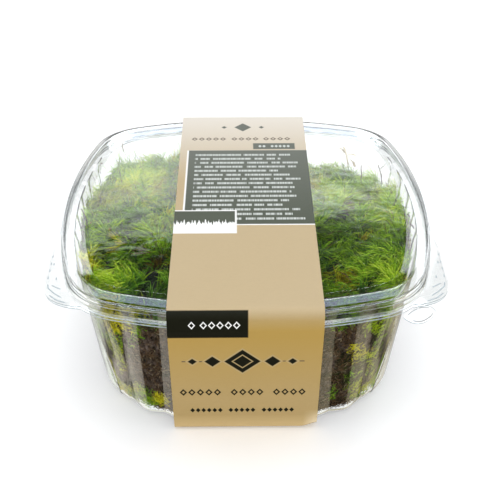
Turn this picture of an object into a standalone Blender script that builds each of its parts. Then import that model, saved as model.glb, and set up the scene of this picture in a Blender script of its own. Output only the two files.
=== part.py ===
"""A moss clump packed in a clear tub, with its lid and the paper band that holds it shut.

Lengths are in metres and +Z is up. The package stands on the band's underside at Z = 0,
the front is -Y, and the origin is the middle of the footprint. The tub and the lid are
lofts between bowed squares, squares whose sides are arcs and whose corners are round.
"""

import math
import random

import bmesh
import bpy
from mathutils import Vector

MM = 0.001

# Sheet and paper.
SHEET = 0.6 * MM
PAPER = 0.4 * MM
GAP = 0.3 * MM

# Bowed squares, as (half width at mid side, rise of the side's arc, corner radius).
BASE_SQUARE = (81.6 * MM, 20.8 * MM, 51.9 * MM)
WALL_TOP_SQUARE = (89.2 * MM, 20.3 * MM, 40.5 * MM)
RIM_SQUARE = (90.35 * MM, 19.3 * MM, 27.8 * MM)

# Heights of the tub, and the round between its base and its wall, as (inset, rise) shares.
TUB_BOTTOM_Z = PAPER + GAP
WALL_FOOT_Z = 6 * MM
RIB_TOP_Z = 76 * MM
BASE_ROUND = 5.3 * MM
BASE_ROUND_STEPS = ((1.0, 0.0), (0.32, 0.30), (0.0, 1.0))

# Upright ribs, convex lobes between narrow valleys, alike on all four walls.
RIBS_PER_SIDE = 7
RIB_PITCH = 17.2 * MM
RIB_CREST = 0.8 * MM
RIB_VALLEY = 1.4 * MM
RIB_SEGMENTS = 4
RIB_RUN_OUT = 7 * MM

# Faces along a plain side, and points inside each corner.
LID_SEGMENTS = 10
LID_CORNER_POINTS = 6
TUB_CORNER_POINTS = 4
MOSS_SEGMENTS = 12
MOSS_CORNER_POINTS = 6

# Profiles outwards from the rim line, as (offset from RIM_SQUARE, height). The tub's is the
# underside of its turned-over flange, above a plain collar, and the lid's is its top.
TUB_COLLAR_OFFSET = -0.95 * MM
TUB_COLLAR_Z = 79.8 * MM
TUB_FLANGE = (
    (2.8 * MM, 81.0 * MM),
    (3.3 * MM, 80.2 * MM),
    (3.55 * MM, 76.6 * MM),
    (4.9 * MM, 74.4 * MM),
)
LID_PROFILE = (
    (-4.2 * MM, 83.7 * MM),
    (-1.2 * MM, 85.4 * MM),
    (0.0 * MM, 85.4 * MM),
    (3.9 * MM, 84.3 * MM),
    (4.7 * MM, 83.3 * MM),
    (4.8 * MM, 80.5 * MM),
    (5.3 * MM, 80.0 * MM),
    (5.3 * MM, 77.3 * MM),
    (5.9 * MM, 76.4 * MM),
)
LIP_OFFSET = 6.45 * MM
LID_LIP_Z = 76.2 * MM
TUB_LIP_Z = 74.3 * MM

# Pull tabs, flat flaps that square off the lip's two front corners. Each runs out along the
# side, then round one curve that is steered by the point TAB_CORNER.
TAB_SIDE_X = 97.9 * MM
TAB_SIDE_Y = (-12 * MM, -34 * MM)
TAB_CORNER_START_Y = -62 * MM
TAB_CORNER = (97.9 * MM, -76.5 * MM)
TAB_CORNER_END = (80.3 * MM, -79.6 * MM)
TAB_END_ANGLE = math.radians(45)
TUB_TAB_INSET = 0.4 * MM

# The paper band.
BAND_HALF_WIDTH = 36.0 * MM
BAND_CENTRE_X = -0.8 * MM
BAND_FOOT_Y = 83.4 * MM
BAND_LIP_Y = 97.6 * MM
BAND_LIP_Z = (75.0 * MM, 76.6 * MM)
BAND_SHOULDER = (96.1 * MM, 84.8 * MM)
BAND_TOP_EDGE_Y = 91.6 * MM
BAND_TOP_Z = 86.1 * MM
BAND_FOOT_ROUND = 4.5 * MM
BAND_LIP_ROUND = 1.0 * MM
BAND_SHOULDER_ROUND = 2.0 * MM
BAND_TOP_ROUND = 3.0 * MM

# The moss. MOSS_FOOT is the round of its underside, as (height, inset from the wall).
MOSS_WALL_GAP = 2.7 * MM
MOSS_BOTTOM_Z = 1.8 * MM
MOSS_FOOT = ((MOSS_BOTTOM_Z, 5.5 * MM), (3.2 * MM, 2.2 * MM), (WALL_FOOT_Z, 0.0), (40 * MM, 0.0))
MOSS_FRONT_Z = 80.0 * MM
MOSS_BACK_LEFT_Z = 74.0 * MM
MOSS_BACK_RIGHT_Z = 64.0 * MM
MOSS_CEILING_Z = 82.5 * MM
MOSS_LEVEL_Y = 5 * MM
MOSS_SHOULDER = 9 * MM
MOSS_SHOULDER_RISE = 2.5 * MM
MOSS_TOP_RINGS = 11
TUFT_SPACING = 33 * MM
TUFT_RADIUS = 0.62 * TUFT_SPACING
TUFT_RISE = 6 * MM
TUFT_MIDDLE = 0.45
TUFT_JITTER = 0.3 * TUFT_SPACING
TUFT_GRID_REACH = 4
SEED = 7

COLOURS = {
    "tub": ((0.86, 0.91, 0.92, 1.0), 0.12),
    "lid": ((0.90, 0.94, 0.95, 1.0), 0.10),
    "paper_band": ((0.62, 0.48, 0.28, 1.0), 0.75),
    "moss_clump": ((0.16, 0.30, 0.03, 1.0), 0.90),
}


def clear_scene():
    for obj in list(bpy.data.objects):
        bpy.data.objects.remove(obj, do_unlink=True)


def smooth_step(value, low, high):
    t = min(max((value - low) / (high - low), 0.0), 1.0)
    return t * t * (3 - 2 * t)


def mixed(low, high, t):
    return tuple(a + (b - a) * t for a, b in zip(low, high))


class BowedSquare:
    """A square of four bowed sides and four round corners, with a normal at every point."""

    def __init__(self, half, bow, corner):
        self.side = (half * half + bow * bow) / (2 * bow)
        self.side_centre = self.side - half
        self.corner = corner
        span = self.side - corner
        drop = self.side_centre
        self.centre = (math.sqrt(2 * span * span - drop * drop) - drop) / 2
        self.meet = math.atan2(self.centre, self.centre + drop)

    def angle_at(self, x):
        """The normal's angle from -Y where the front side has this X."""
        reach = abs(x)
        if reach <= self.side * math.sin(self.meet):
            angle = math.asin(reach / self.side)
        else:
            angle = math.asin((reach - self.centre) / self.corner)
        return math.copysign(angle, x)

    def at(self, angle):
        """The point whose normal makes this angle with -Y, in the front right quarter."""
        if angle > math.pi / 4:
            point = self.at(math.pi / 2 - angle)
            return Vector((-point.y, -point.x))
        if angle < 0:
            point = self.at(-angle)
            return Vector((-point.x, point.y))
        away = Vector((math.sin(angle), -math.cos(angle)))
        if angle <= self.meet:
            return Vector((0, self.side_centre)) + away * self.side
        return Vector((self.centre, -self.centre)) + away * self.corner


def quarter_angles(square, places, corner_count):
    """Angles along the front side at these places, then over the corner after it."""
    angles = [square.angle_at(x) for x in places]
    last = angles[-1]
    step = (math.pi / 2 - 2 * last) / (corner_count + 1)
    return angles + [last + step * (i + 1) for i in range(corner_count)]


def ring_of(square, places, corner_count, height, shift=None, inset=0.0):
    """One closed ring of points, the four quarters turned from the front one."""
    points = []
    last = square.angle_at(places[-1])
    corner_ends = square.at(last), square.at(math.pi / 2 - last)
    for quarter in range(4):
        turn = quarter * math.pi / 2
        for index, angle in enumerate(quarter_angles(square, places, corner_count)):
            point = square.at(angle)
            move = -inset
            if shift and index < len(places):
                move += shift(places[index], 0.0)
            elif shift:
                move += shift(places[-1], min((point - end).length for end in corner_ends))
            point = point + Vector((math.sin(angle), -math.cos(angle))) * move
            c, s = math.cos(turn), math.sin(turn)
            points.append(Vector((point.x * c - point.y * s, point.x * s + point.y * c, height)))
    return points


def rib_shift(x, past_last):
    """How far a rib stands out of the plain wall, or falls short of it in a valley."""
    if past_last > 0:
        return -RIB_VALLEY * (1 - min(past_last / RIB_RUN_OUT, 1)) ** 2
    place = (x / RIB_PITCH + RIBS_PER_SIDE / 2) % 1.0
    return RIB_CREST - (RIB_CREST + RIB_VALLEY) * (2 * place - 1) ** 2


def loft(name, rings, faces_down):
    """A mesh object through the rings, all of the same count, with a flat cap on the first.

    The rings run outwards from that cap, and faces_down says which way the cap looks.
    """
    mesh = bmesh.new()
    rows = [[mesh.verts.new(point) for point in ring] for ring in rings]
    count = len(rows[0])
    for lower, upper in zip(rows, rows[1:]):
        for i in range(count):
            j = (i + 1) % count
            mesh.faces.new((lower[i], lower[j], upper[j], upper[i]))
    mesh.faces.new(list(reversed(rows[0])))
    if not faces_down:
        bmesh.ops.reverse_faces(mesh, faces=mesh.faces)
    data = bpy.data.meshes.new(name)
    mesh.to_mesh(data)
    mesh.free()
    return bpy.data.objects.new(name, data)


def solidify(obj, thickness):
    """Gives an open surface its thickness, on the side away from its normals."""
    modifier = obj.modifiers.new("Sheet", "SOLIDIFY")
    modifier.thickness = thickness
    modifier.offset = -1
    modifier.use_even_offset = True
    modifier.use_quality_normals = True


def stations(count):
    """Evenly spaced places along a side, over the width that holds the ribs."""
    half_span = RIBS_PER_SIDE * RIB_PITCH / 2
    return [half_span * (2 * i / count - 1) for i in range(count + 1)]


def tab_edge(point, inset):
    """Pushes a point of the lip's front half out to the edge of its corner's tab."""
    side = math.copysign(1.0, point.x)
    x = abs(point.x)
    y = point.y
    side_x = TAB_SIDE_X - inset
    if y > TAB_CORNER_START_Y:
        reach = smooth_step(-y, -TAB_SIDE_Y[0], -TAB_SIDE_Y[1])
        return Vector((side * (x + max(side_x - x, 0) * reach), y, point.z))
    centre = BowedSquare(*RIM_SQUARE).centre
    first = math.atan2(-TAB_CORNER_START_Y - centre, side_x - centre)
    angle = math.atan2(-y - centre, x - centre)
    t = (angle - first) / (TAB_END_ANGLE - first)
    if t > 1:
        return point
    t = max(t, 0.0)
    start = Vector((side_x, TAB_CORNER_START_Y))
    edge = start * (1 - t) ** 2 + Vector(TAB_CORNER) * 2 * t * (1 - t) + Vector(TAB_CORNER_END) * t * t
    return Vector((side * (edge.x - inset * (1 - t)), edge.y + inset * t, point.z))


def build_tub():
    places = stations(RIBS_PER_SIDE * RIB_SEGMENTS)
    base = BowedSquare(*BASE_SQUARE)
    top = BowedSquare(*WALL_TOP_SQUARE)
    rim = BowedSquare(*RIM_SQUARE)
    rings = []
    for inset, rise in BASE_ROUND_STEPS:
        height = TUB_BOTTOM_Z + (WALL_FOOT_Z - TUB_BOTTOM_Z) * rise
        rings.append(ring_of(base, places, TUB_CORNER_POINTS, height, rib_shift, BASE_ROUND * inset))
    rings.append(ring_of(top, places, TUB_CORNER_POINTS, RIB_TOP_Z, rib_shift))
    for offset, height in ((TUB_COLLAR_OFFSET, TUB_COLLAR_Z),) + TUB_FLANGE:
        rings.append(ring_of(rim, places, TUB_CORNER_POINTS, height, None, -offset))
    lip = ring_of(rim, places, TUB_CORNER_POINTS, TUB_LIP_Z, None, -LIP_OFFSET)
    rings.append([tab_edge(p, TUB_TAB_INSET) if p.y < 0 else p for p in lip])
    tub = loft("tub", rings, faces_down=True)
    solidify(tub, SHEET)
    return tub


def build_lid():
    places = stations(LID_SEGMENTS)
    rim = BowedSquare(*RIM_SQUARE)
    rings = [ring_of(rim, places, LID_CORNER_POINTS, z, None, -offset) for offset, z in LID_PROFILE]
    lip = ring_of(rim, places, LID_CORNER_POINTS, LID_LIP_Z, None, -LIP_OFFSET)
    rings.append([tab_edge(p, 0.0) if p.y < 0 else p for p in lip])
    lid = loft("lid", rings, faces_down=False)
    solidify(lid, SHEET)
    return lid


def arc_points(start, corner, end, radius, count):
    """Points of an arc that rounds the corner of the path start, corner, end."""
    start, corner, end = Vector(start), Vector(corner), Vector(end)
    back = (start - corner).normalized()
    ahead = (end - corner).normalized()
    half = back.angle(ahead) / 2
    reach = radius / math.tan(half)
    centre = corner + (back + ahead).normalized() * (radius / math.sin(half))
    first = corner + back * reach - centre
    last = corner + ahead * reach - centre
    turn = first.angle(last)
    points = []
    for i in range(count + 1):
        angle = turn * i / count
        point = first * math.sin(turn - angle) + last * math.sin(angle)
        points.append(centre + point / math.sin(turn))
    return points


def band_path():
    """The band's outer outline, as (Y, Z) points once round from the middle of its underside."""
    front = [
        (0.0, 0.0),
        (-BAND_FOOT_Y, 0.0),
        (-BAND_LIP_Y, BAND_LIP_Z[0]),
        (-BAND_LIP_Y, BAND_LIP_Z[1]),
        (-BAND_SHOULDER[0], BAND_SHOULDER[1]),
        (-BAND_TOP_EDGE_Y, BAND_TOP_Z),
        (0.0, BAND_TOP_Z),
    ]
    radii = (BAND_FOOT_ROUND, BAND_LIP_ROUND, BAND_LIP_ROUND, BAND_SHOULDER_ROUND, BAND_TOP_ROUND)
    steps = (5, 2, 2, 3, 3)
    path = []
    for i, (radius, count) in enumerate(zip(radii, steps)):
        path += arc_points(front[i], front[i + 1], front[i + 2], radius, count)
    return path + [Vector((-y, z)) for y, z in reversed(path)]


def inner_path(path, thickness):
    """The path moved in by a thickness, along the bisector at each point."""
    count = len(path)
    moved = []
    for i, point in enumerate(path):
        back = (point - path[i - 1]).normalized()
        ahead = (path[(i + 1) % count] - point).normalized()
        tangent = (back + ahead).normalized()
        inwards = Vector((tangent.y, -tangent.x))
        moved.append(point + inwards * thickness / max(tangent.dot(back), 0.5))
    return moved


def build_band():
    """The band is a flat ring outline in the YZ plane, extruded across its width."""
    outer = band_path()
    curve = bpy.data.curves.new("band_outline", "CURVE")
    curve.dimensions = "2D"
    curve.fill_mode = "BOTH"
    curve.extrude = BAND_HALF_WIDTH
    for path in (outer, inner_path(outer, PAPER)):
        spline = curve.splines.new("POLY")
        spline.points.add(len(path) - 1)
        for target, point in zip(spline.points, path):
            target.co = (point.x, point.y, 0, 1)
        spline.use_cyclic_u = True
    outline = bpy.data.objects.new("band_outline", curve)
    bpy.context.scene.collection.objects.link(outline)
    bpy.context.view_layer.update()
    graph = bpy.context.evaluated_depsgraph_get()
    data = bpy.data.meshes.new_from_object(outline.evaluated_get(graph))
    bpy.data.objects.remove(outline, do_unlink=True)
    mesh = bmesh.new()
    mesh.from_mesh(data)
    bmesh.ops.remove_doubles(mesh, verts=mesh.verts, dist=0.01 * MM)
    bmesh.ops.recalc_face_normals(mesh, faces=mesh.faces)
    mesh.to_mesh(data)
    mesh.free()
    band = bpy.data.objects.new("paper_band", data)
    # The outline's own X and Y become the world's Y and Z.
    band.rotation_euler = (math.pi / 2, 0, math.pi / 2)
    band.location = (BAND_CENTRE_X, 0, 0)
    return band


def moss_ring(height, inset):
    """A ring of the moss's side, just clear of the tub's wall, at this height."""
    t = min(max((height - WALL_FOOT_Z) / (RIB_TOP_Z - WALL_FOOT_Z), 0.0), 1.0)
    square = BowedSquare(*mixed(BASE_SQUARE, WALL_TOP_SQUARE, t))
    return ring_of(square, stations(MOSS_SEGMENTS), MOSS_CORNER_POINTS, height, None, MOSS_WALL_GAP + inset)


def tuft_centres():
    """The middles of the tufts, on a jittered triangular grid."""
    rng = random.Random(SEED)
    places = range(-TUFT_GRID_REACH, TUFT_GRID_REACH + 1)
    centres = []
    for row in places:
        for column in places:
            x = (column + 0.5 * (row % 2)) * TUFT_SPACING + rng.uniform(-TUFT_JITTER, TUFT_JITTER)
            y = row * TUFT_SPACING * math.sqrt(3) / 2 + rng.uniform(-TUFT_JITTER, TUFT_JITTER)
            centres.append((x, y, rng.uniform(0.5, 1.0)))
    return centres


def moss_top(x, y, tufts):
    """The height of the moss: level in front, falling to the back, domed over each tuft."""
    reach = WALL_TOP_SQUARE[0]
    back = smooth_step(y, MOSS_LEVEL_Y, reach)
    side = smooth_step(x, -reach / 2, reach / 2)
    back_z = MOSS_BACK_LEFT_Z + (MOSS_BACK_RIGHT_Z - MOSS_BACK_LEFT_Z) * side
    level = MOSS_FRONT_Z + (back_z - MOSS_FRONT_Z) * back
    dome = 0.0
    for cx, cy, strength in tufts:
        apart = math.hypot(x - cx, y - cy) / TUFT_RADIUS
        if apart < 1:
            dome = max(dome, strength * (1 - apart * apart))
    return min(level + TUFT_RISE * (dome - TUFT_MIDDLE), MOSS_CEILING_Z)


def build_moss():
    tufts = tuft_centres()
    rings = [moss_ring(height, inset) for height, inset in MOSS_FOOT]
    low = moss_ring(WALL_FOOT_Z, 0.0)
    high = moss_ring(RIB_TOP_Z, 0.0)
    edge = []
    for foot, head in zip(low, high):
        height = moss_top(head.x, head.y, tufts) - MOSS_SHOULDER_RISE
        edge.append(foot.lerp(head, (height - foot.z) / (head.z - foot.z)))
    for i in range(MOSS_TOP_RINGS):
        share = 1 - i / MOSS_TOP_RINGS
        ring = []
        for point in edge:
            x, y = point.x * share, point.y * share
            from_wall = math.hypot(point.x, point.y) * (1 - share)
            rise = 1 - smooth_step(from_wall, 0.0, MOSS_SHOULDER)
            height = point.z if i == 0 else moss_top(x, y, tufts) - MOSS_SHOULDER_RISE * rise
            ring.append(Vector((x, y, height)))
        rings.append(ring)
    moss = loft("moss_clump", rings, faces_down=True)
    cap_centre(moss.data, len(edge), Vector((0, 0, moss_top(0, 0, tufts))))
    return moss


def cap_centre(data, count, apex):
    """Closes the last ring of a loft with a fan to one point."""
    mesh = bmesh.new()
    mesh.from_mesh(data)
    mesh.verts.ensure_lookup_table()
    ring = mesh.verts[-count:]
    tip = mesh.verts.new(apex)
    for i in range(count):
        mesh.faces.new((ring[i], ring[(i + 1) % count], tip))
    bmesh.ops.recalc_face_normals(mesh, faces=mesh.faces)
    mesh.to_mesh(data)
    mesh.free()


def finish(obj, collection):
    """Links the object, gives it its material and shades it smooth up to its sharp edges."""
    colour, roughness = COLOURS[obj.name]
    material = bpy.data.materials.new(obj.name)
    material.use_nodes = True
    shader = material.node_tree.nodes["Principled BSDF"]
    shader.inputs["Base Color"].default_value = colour
    shader.inputs["Roughness"].default_value = roughness
    shader.inputs["Metallic"].default_value = 0.0
    obj.data.materials.append(material)
    obj.data.shade_smooth()
    obj.data.set_sharp_from_angle(angle=math.radians(35))
    collection.objects.link(obj)


def main():
    clear_scene()
    collection = bpy.data.collections.new("moss_clump_package")
    bpy.context.scene.collection.children.link(collection)
    for build in (build_tub, build_lid, build_band, build_moss):
        finish(build(), collection)


main()
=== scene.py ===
"""The looks of a moss clump packed in a clear tub, with a clear lid and a printed paper band.

Lengths are in metres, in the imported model's own frame: +Z is up, the front is -Y, and the
package stands on Z = 0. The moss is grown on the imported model's own moss solid, and the
clear shells and the band repeat the solids' profiles with finer faces.
"""

import math

import bmesh
import bpy
import numpy as np
from mathutils import Matrix, Vector, noise
from mathutils.bvhtree import BVHTree
from mathutils.geometry import interpolate_bezier


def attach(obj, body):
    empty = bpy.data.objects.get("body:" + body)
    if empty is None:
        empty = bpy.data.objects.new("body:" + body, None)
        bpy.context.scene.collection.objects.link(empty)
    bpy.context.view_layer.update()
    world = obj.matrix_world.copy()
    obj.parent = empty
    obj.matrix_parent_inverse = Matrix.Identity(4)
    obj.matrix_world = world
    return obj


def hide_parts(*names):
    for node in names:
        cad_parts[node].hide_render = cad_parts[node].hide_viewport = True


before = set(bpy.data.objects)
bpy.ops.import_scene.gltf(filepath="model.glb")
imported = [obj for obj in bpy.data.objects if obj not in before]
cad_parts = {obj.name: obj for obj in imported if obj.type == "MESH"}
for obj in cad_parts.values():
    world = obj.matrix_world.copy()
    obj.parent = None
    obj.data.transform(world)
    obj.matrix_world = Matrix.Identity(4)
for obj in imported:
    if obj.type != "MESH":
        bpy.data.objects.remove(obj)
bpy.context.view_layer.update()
MM = 0.001
UP = Vector((0, 0, 1))

# Sheet and paper.
SHEET = 0.6 * MM
PAPER = 0.4 * MM

# Bowed squares, as (half width at mid side, rise of the side's arc, corner radius).
BASE_SQUARE = (81.6 * MM, 20.8 * MM, 51.9 * MM)
WALL_TOP_SQUARE = (89.2 * MM, 20.3 * MM, 40.5 * MM)
RIM_SQUARE = (90.35 * MM, 19.3 * MM, 27.8 * MM)

# The tub.
TUB_BOTTOM_Z = 0.7 * MM
WALL_FOOT_Z = 6 * MM
RIB_TOP_Z = 76 * MM
BASE_ROUND = 5.3 * MM
RIBS_PER_SIDE = 7
RIB_PITCH = 17.2 * MM
RIB_HALF_SPAN = RIBS_PER_SIDE * RIB_PITCH / 2
RIB_CREST = 0.8 * MM
RIB_VALLEY = 1.4 * MM
RIB_RUN_OUT = 10 * MM
RIB_SEGMENTS = 14
CREST_ROUND = 0.18
SIDE_RIBS_START_Y = (-46 * MM, -24 * MM)
COLLAR_SPREAD = 0.2 * MM
FLAT_CORNER = math.radians(16)
CORNER_ROUND = 0.8 * MM
CORNER_POINTS = 26
TUB_TINT = (0.965, 0.98, 0.98)
LID_TINT = (0.975, 0.985, 0.985)

# Profiles outwards from the rim line, as (offset, height, rounding radius) in mm.
TUB_FLANGE = ((-0.95, 79.8, 0.8), (2.8, 81.0, 0.5), (3.3, 80.2, 0.4), (3.55, 76.6, 0.6), (4.9, 74.6, 0.5))
LID_PROFILE = ((-8.2, 83.6, 0.0), (-7.0, 83.6, 0.4), (0.1, 85.85, 2.2), (3.9, 84.3, 0.6), (4.7, 83.3, 0.5),
               (4.8, 80.5, 0.2), (5.3, 80.0, 0.2), (5.3, 77.3, 0.5), (5.9, 76.4, 0.3))
LIP_OFFSET = 6.45 * MM
LID_LIP_Z = 76.2 * MM
TUB_LIP_Z = 74.2 * MM
ROUND_STEPS = 6
LID_SIDE_POINTS = 70

# How uneven the formed sheets' flat panels are, as (height, spread, seed), and their rings.
TUB_WAVE = (0.2 * MM, 40 * MM, 3.0)
LID_WAVE = (0.35 * MM, 45 * MM, 8.0)
TUB_PANEL_RINGS = 14
LID_PANEL_RINGS = 22

# Pull tabs on the lip's front corners.
TAB_SIDE_X = 97.9 * MM
TAB_SIDE_Y = (-12 * MM, -34 * MM)
TAB_CORNER_START_Y = -62 * MM
TAB_CORNER = (97.9 * MM, -76.5 * MM)
TAB_CORNER_END = (80.3 * MM, -79.6 * MM)
TAB_END_ANGLE = math.radians(45)
TUB_TAB_INSET = 0.4 * MM

# Raised dashes on the pull tabs, as (x, y) paths in mm on the left tab.
GRIPS = (
    ((-97.1, -37.4), (-97.1, -39.4)),
    ((-97.0, -43.6), (-97.0, -45.8)),
    ((-96.9, -49.4), (-96.8, -51.6)),
    ((-96.8, -55.4), (-96.7, -57.6)),
    ((-95.6, -44.2), (-95.5, -46.2)),
    ((-92.8, -56.2), (-92.6, -58.6)),
    ((-96.2, -61.8), (-95.6, -65.0), (-92.1, -69.3), (-88.1, -72.9)),
    ((-94.2, -62.8), (-91.3, -64.9), (-89.4, -66.0)),
    ((-94.3, -70.6), (-90.3, -74.6), (-85.3, -77.0)),
)
GRIP_RADIUS = 0.32 * MM

# The lid's snap buttons, as (x, y, radius) in mm, and their profile, as (share of the radius,
# height in mm) over the lid's panel.
BUTTONS = ((-69.6, 77.4, 2.3), (75.2, 69.2, 2.3))
BUTTON_PROFILE = ((0.25, 1.15), (0.5, 1.1), (0.72, 0.95), (0.88, 0.7), (0.96, 0.35), (1.0, 0.0), (1.18, -0.1))
BUTTON_FOOT_Z = 83.7 * MM
BUTTON_TINT = (0.80, 0.85, 0.87)
BUTTON_SHEET = 0.4 * MM

# The tub's small lower pull tab: its outline in mm, its rings, as (share of the outline,
# height of a bead in mm), and how far it slopes down between two distances from the middle.
LOWER_TAB = ((73.2, -86.0), (75.2, -87.8), (78.6, -88.6), (82.8, -87.2), (86.6, -84.0), (89.2, -80.4),
             (89.0, -77.6), (86.4, -76.6), (82.2, -77.8), (77.0, -81.4))
LOWER_TAB_RINGS = ((0.25, 0.0), (0.5, 0.0), (0.72, 0.0), (0.80, 0.2), (0.86, 0.0), (1.0, 0.0))
LOWER_TAB_Z = (74.4 * MM, 71.6 * MM)
LOWER_TAB_SLOPE = (110 * MM, 121 * MM)
LOWER_TAB_TINT = (0.955, 0.97, 0.975)
LOWER_TAB_SHEET = 0.5 * MM

# The paper band. Its foot's fold is wider at the right edge, where the paper curls up.
BAND_HALF_WIDTH = 36.0 * MM
BAND_CENTRE_X = -0.8 * MM
BAND_COLUMNS = 48
BAND_PIECE = 4 * MM
BAND_FOOT = (-83.4 * MM, 0.0 * MM)
BAND_LIP = (-97.6 * MM, 75.0 * MM)
BAND_TOP_Z = 86.1 * MM
BAND_FOLD = 7.5 * MM
LIP_FOLD = 1.0 * MM
FOOT_FOLD = 4.5 * MM
CURLED_FOLD = 11.0 * MM
CURL_START_X = 27 * MM
UNDER_BAND = BAND_HALF_WIDTH - 8 * MM

# The photograph's viewpoint.
CAMERA_PLACE = (-3.8 * MM, -466.0 * MM, 372.9 * MM)
CAMERA_PITCH = math.radians(34.50)
CAMERA_YAW = math.radians(0.827)
CAMERA_ROLL = math.radians(0.161)
CAMERA_LENS = 74.16

# Soft lights aimed at the package, as (name, place, height aimed at, size, radiance).
SOFTBOXES = (
    ("overhead", (0.0, -0.10, 1.00), 0.05, (1.2, 0.9), 1.3),
    ("left_side", (-1.0, -0.35, 0.55), 0.04, (0.6, 0.5), 1.2),
    ("right_side", (1.0, -0.35, 0.55), 0.04, (0.6, 0.5), 1.2),
    ("front_wash", (0.0, -1.30, 0.50), 0.04, (1.4, 0.6), 1.9),
)

# The diffuse light from the surroundings, level with the floor and straight above.
AMBIENT_LOW = 0.30
AMBIENT_HIGH = 0.60

# What the clear sheets mirror: radiances, tints, and edges as angles from the front.
BACKDROP_LOW = 1.7
BACKDROP_HIGH = 0.66
BACKDROP_EDGE = 0.553
SEEN_THROUGH = 1.15
UNDER_ALL = 0.45
STRIP_LAMP = 7.0
OVERHEAD = 1.3
SIDE_CARD = 0.95
BEYOND_CARD = 0.15
FAR_CARD = 0.60
LEVEL_CARD = 1.7
RIGHT_DIMMED = 0.35
FRONT_WINDOW = 1.2
DIM_REST = 0.03
CARD_TINT = (1.0, 0.93, 0.80)
FAR_TINT = (0.97, 1.0, 0.86)
RIGHT_TINT = (1.0, 0.90, 0.62)
MIRRORED_TINT = (0.94, 0.98, 1.0)
OVERHEAD_TINT = (0.90, 1.10, 1.60)
CARD_NEAR = (math.radians(55), math.radians(62))
CARD_FAR = (math.radians(119), math.radians(124))
FAR_SIDE = (math.radians(126), math.radians(136))
WINDOW_SIDE = (math.radians(60), math.radians(80))


def smooth_step(value, low, high):
    t = np.clip((value - low) / (high - low), 0.0, 1.0)
    return t * t * (3 - 2 * t)


def unit(vectors):
    return vectors / np.maximum(np.linalg.norm(vectors, axis=-1, keepdims=True), 1e-9)


# Materials -----------------------------------------------------------------------------------


class Wire:
    """One output of a node. Arithmetic on it adds the nodes that work it out."""

    def __init__(self, tree, socket):
        self.tree = tree
        self.socket = socket

    def math(self, operation, *others):
        return self.tree.wire("Math", 0, dict(enumerate((self, *others))), operation=operation)

    def __add__(self, other):
        return self.math("ADD", other)

    __radd__ = __add__

    def __sub__(self, other):
        return self.math("SUBTRACT", other)

    def __rsub__(self, other):
        return self * -1.0 + other

    def __mul__(self, other):
        return self.math("MULTIPLY", other)

    def __abs__(self):
        return self.math("ABSOLUTE")

    def remap(self, low, high, new_low=0.0, new_high=1.0, way="LINEAR"):
        """Runs from new_low to new_high while the value goes from low to high, and stays there."""
        inputs = dict(enumerate((self, low, high, new_low, new_high)))
        return self.tree.wire("MapRange", 0, inputs, interpolation_type=way)

    def step(self, *ends):
        """The same as remap, with soft ends."""
        return self.remap(*ends, way="SMOOTHSTEP")

    def mixed(self, first, second):
        """The first colour where the value is 0 and the second where it is 1."""
        return self.tree.wire("Mix", 2, {0: self, 6: first, 7: second}, data_type="RGBA")

    def ramp(self, *stops):
        """A colour by the value, from (value, colour) stops."""
        made = self.tree.wire("ValToRGB", "Color", {"Fac": self})
        elements = made.socket.node.color_ramp.elements
        while len(elements) < len(stops):
            elements.new(0.5)
        for element, (place, colour) in zip(elements, stops):
            element.position = place
            element.color = (*colour, 1.0)
        return made

    def noise(self, scale, detail=3.0, roughness=0.55):
        inputs = {"Vector": self, "Scale": scale, "Detail": detail, "Roughness": roughness}
        return self.tree.wire("TexNoise", "Fac", inputs)

    def line_noise(self, scale, detail):
        """Noise along one axis."""
        inputs = {"W": self, "Scale": scale, "Detail": detail}
        return self.tree.wire("TexNoise", "Fac", inputs, noise_dimensions="1D")

    def stretched(self, *scale):
        return self.tree.wire("Mapping", 0, {"Vector": self, "Scale": scale})

    def bump(self, distance, strength):
        return self.tree.wire("Bump", 0, {"Height": self, "Distance": distance, "Strength": strength})


class Tree:
    """The node tree of a material or a world, with short calls to add nodes and link them."""

    def __init__(self, owner):
        self.owner = owner
        owner.use_nodes = True
        self.nodes = owner.node_tree.nodes
        self.links = owner.node_tree.links

    def wire(self, kind, output=0, inputs=None, **settings):
        """Adds a node and gives one of its outputs."""
        made = self.nodes.new("ShaderNode" + kind)
        for key, value in settings.items():
            setattr(made, key, value)
        self.fill(made, inputs or {})
        return Wire(self, made.outputs[output])

    def split(self, whole, kind="SeparateXYZ"):
        """The three parts of a vector or a colour."""
        node = self.wire(kind, 0, {0: whole}).socket.node
        return [Wire(self, output) for output in node.outputs]

    def fill(self, node, inputs):
        for key, value in inputs.items():
            socket = node.inputs[key]
            if isinstance(value, Wire):
                self.links.new(value.socket, socket)
            else:
                socket.default_value = (*value, 1.0) if socket.type == "RGBA" else value

    def shaded(self, inputs):
        """The material, with its shader's inputs filled."""
        self.fill(self.nodes["Principled BSDF"], inputs)
        return self.owner


def new_material(name):
    """A new material's tree, and the place on the object as a wire."""
    tree = Tree(bpy.data.materials.new(name))
    return tree, tree.wire("TexCoord", "Object")


def clear_plastic(name, tint):
    """Thin clear sheet with the faint ripple and scuffs that forming leaves."""
    tree, place = new_material(name)
    ripple = place.stretched(1.0, 1.0, 0.25).noise(90.0, 2.0)
    scuff = place.stretched(1.0, 0.35, 1.0).noise(900.0, 4.0, 0.7)
    return tree.shaded({
        "Base Color": tint,
        "Roughness": scuff.remap(0.45, 0.75, 0.01, 0.06),
        "IOR": 1.57,
        "Transmission Weight": 1.0,
        "Normal": ripple.bump(0.0002, 0.35),
    })


def cut_edge_painted_light():
    """The clear sheets' cut edges as opaque pale blue-grey lines: painted light for what a clear edge carries
    and bends.
    """
    tree, place = new_material("cut_edge_painted_light")
    rough = place.noise(1500.0)
    return tree.shaded({
        "Base Color": rough.ramp((0.3, (0.36, 0.43, 0.46)), (0.7, (0.54, 0.61, 0.64))),
        "Roughness": rough.remap(0.3, 0.7, 0.25, 0.45),
        "Normal": rough.bump(0.0001, 0.4),
    })


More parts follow.
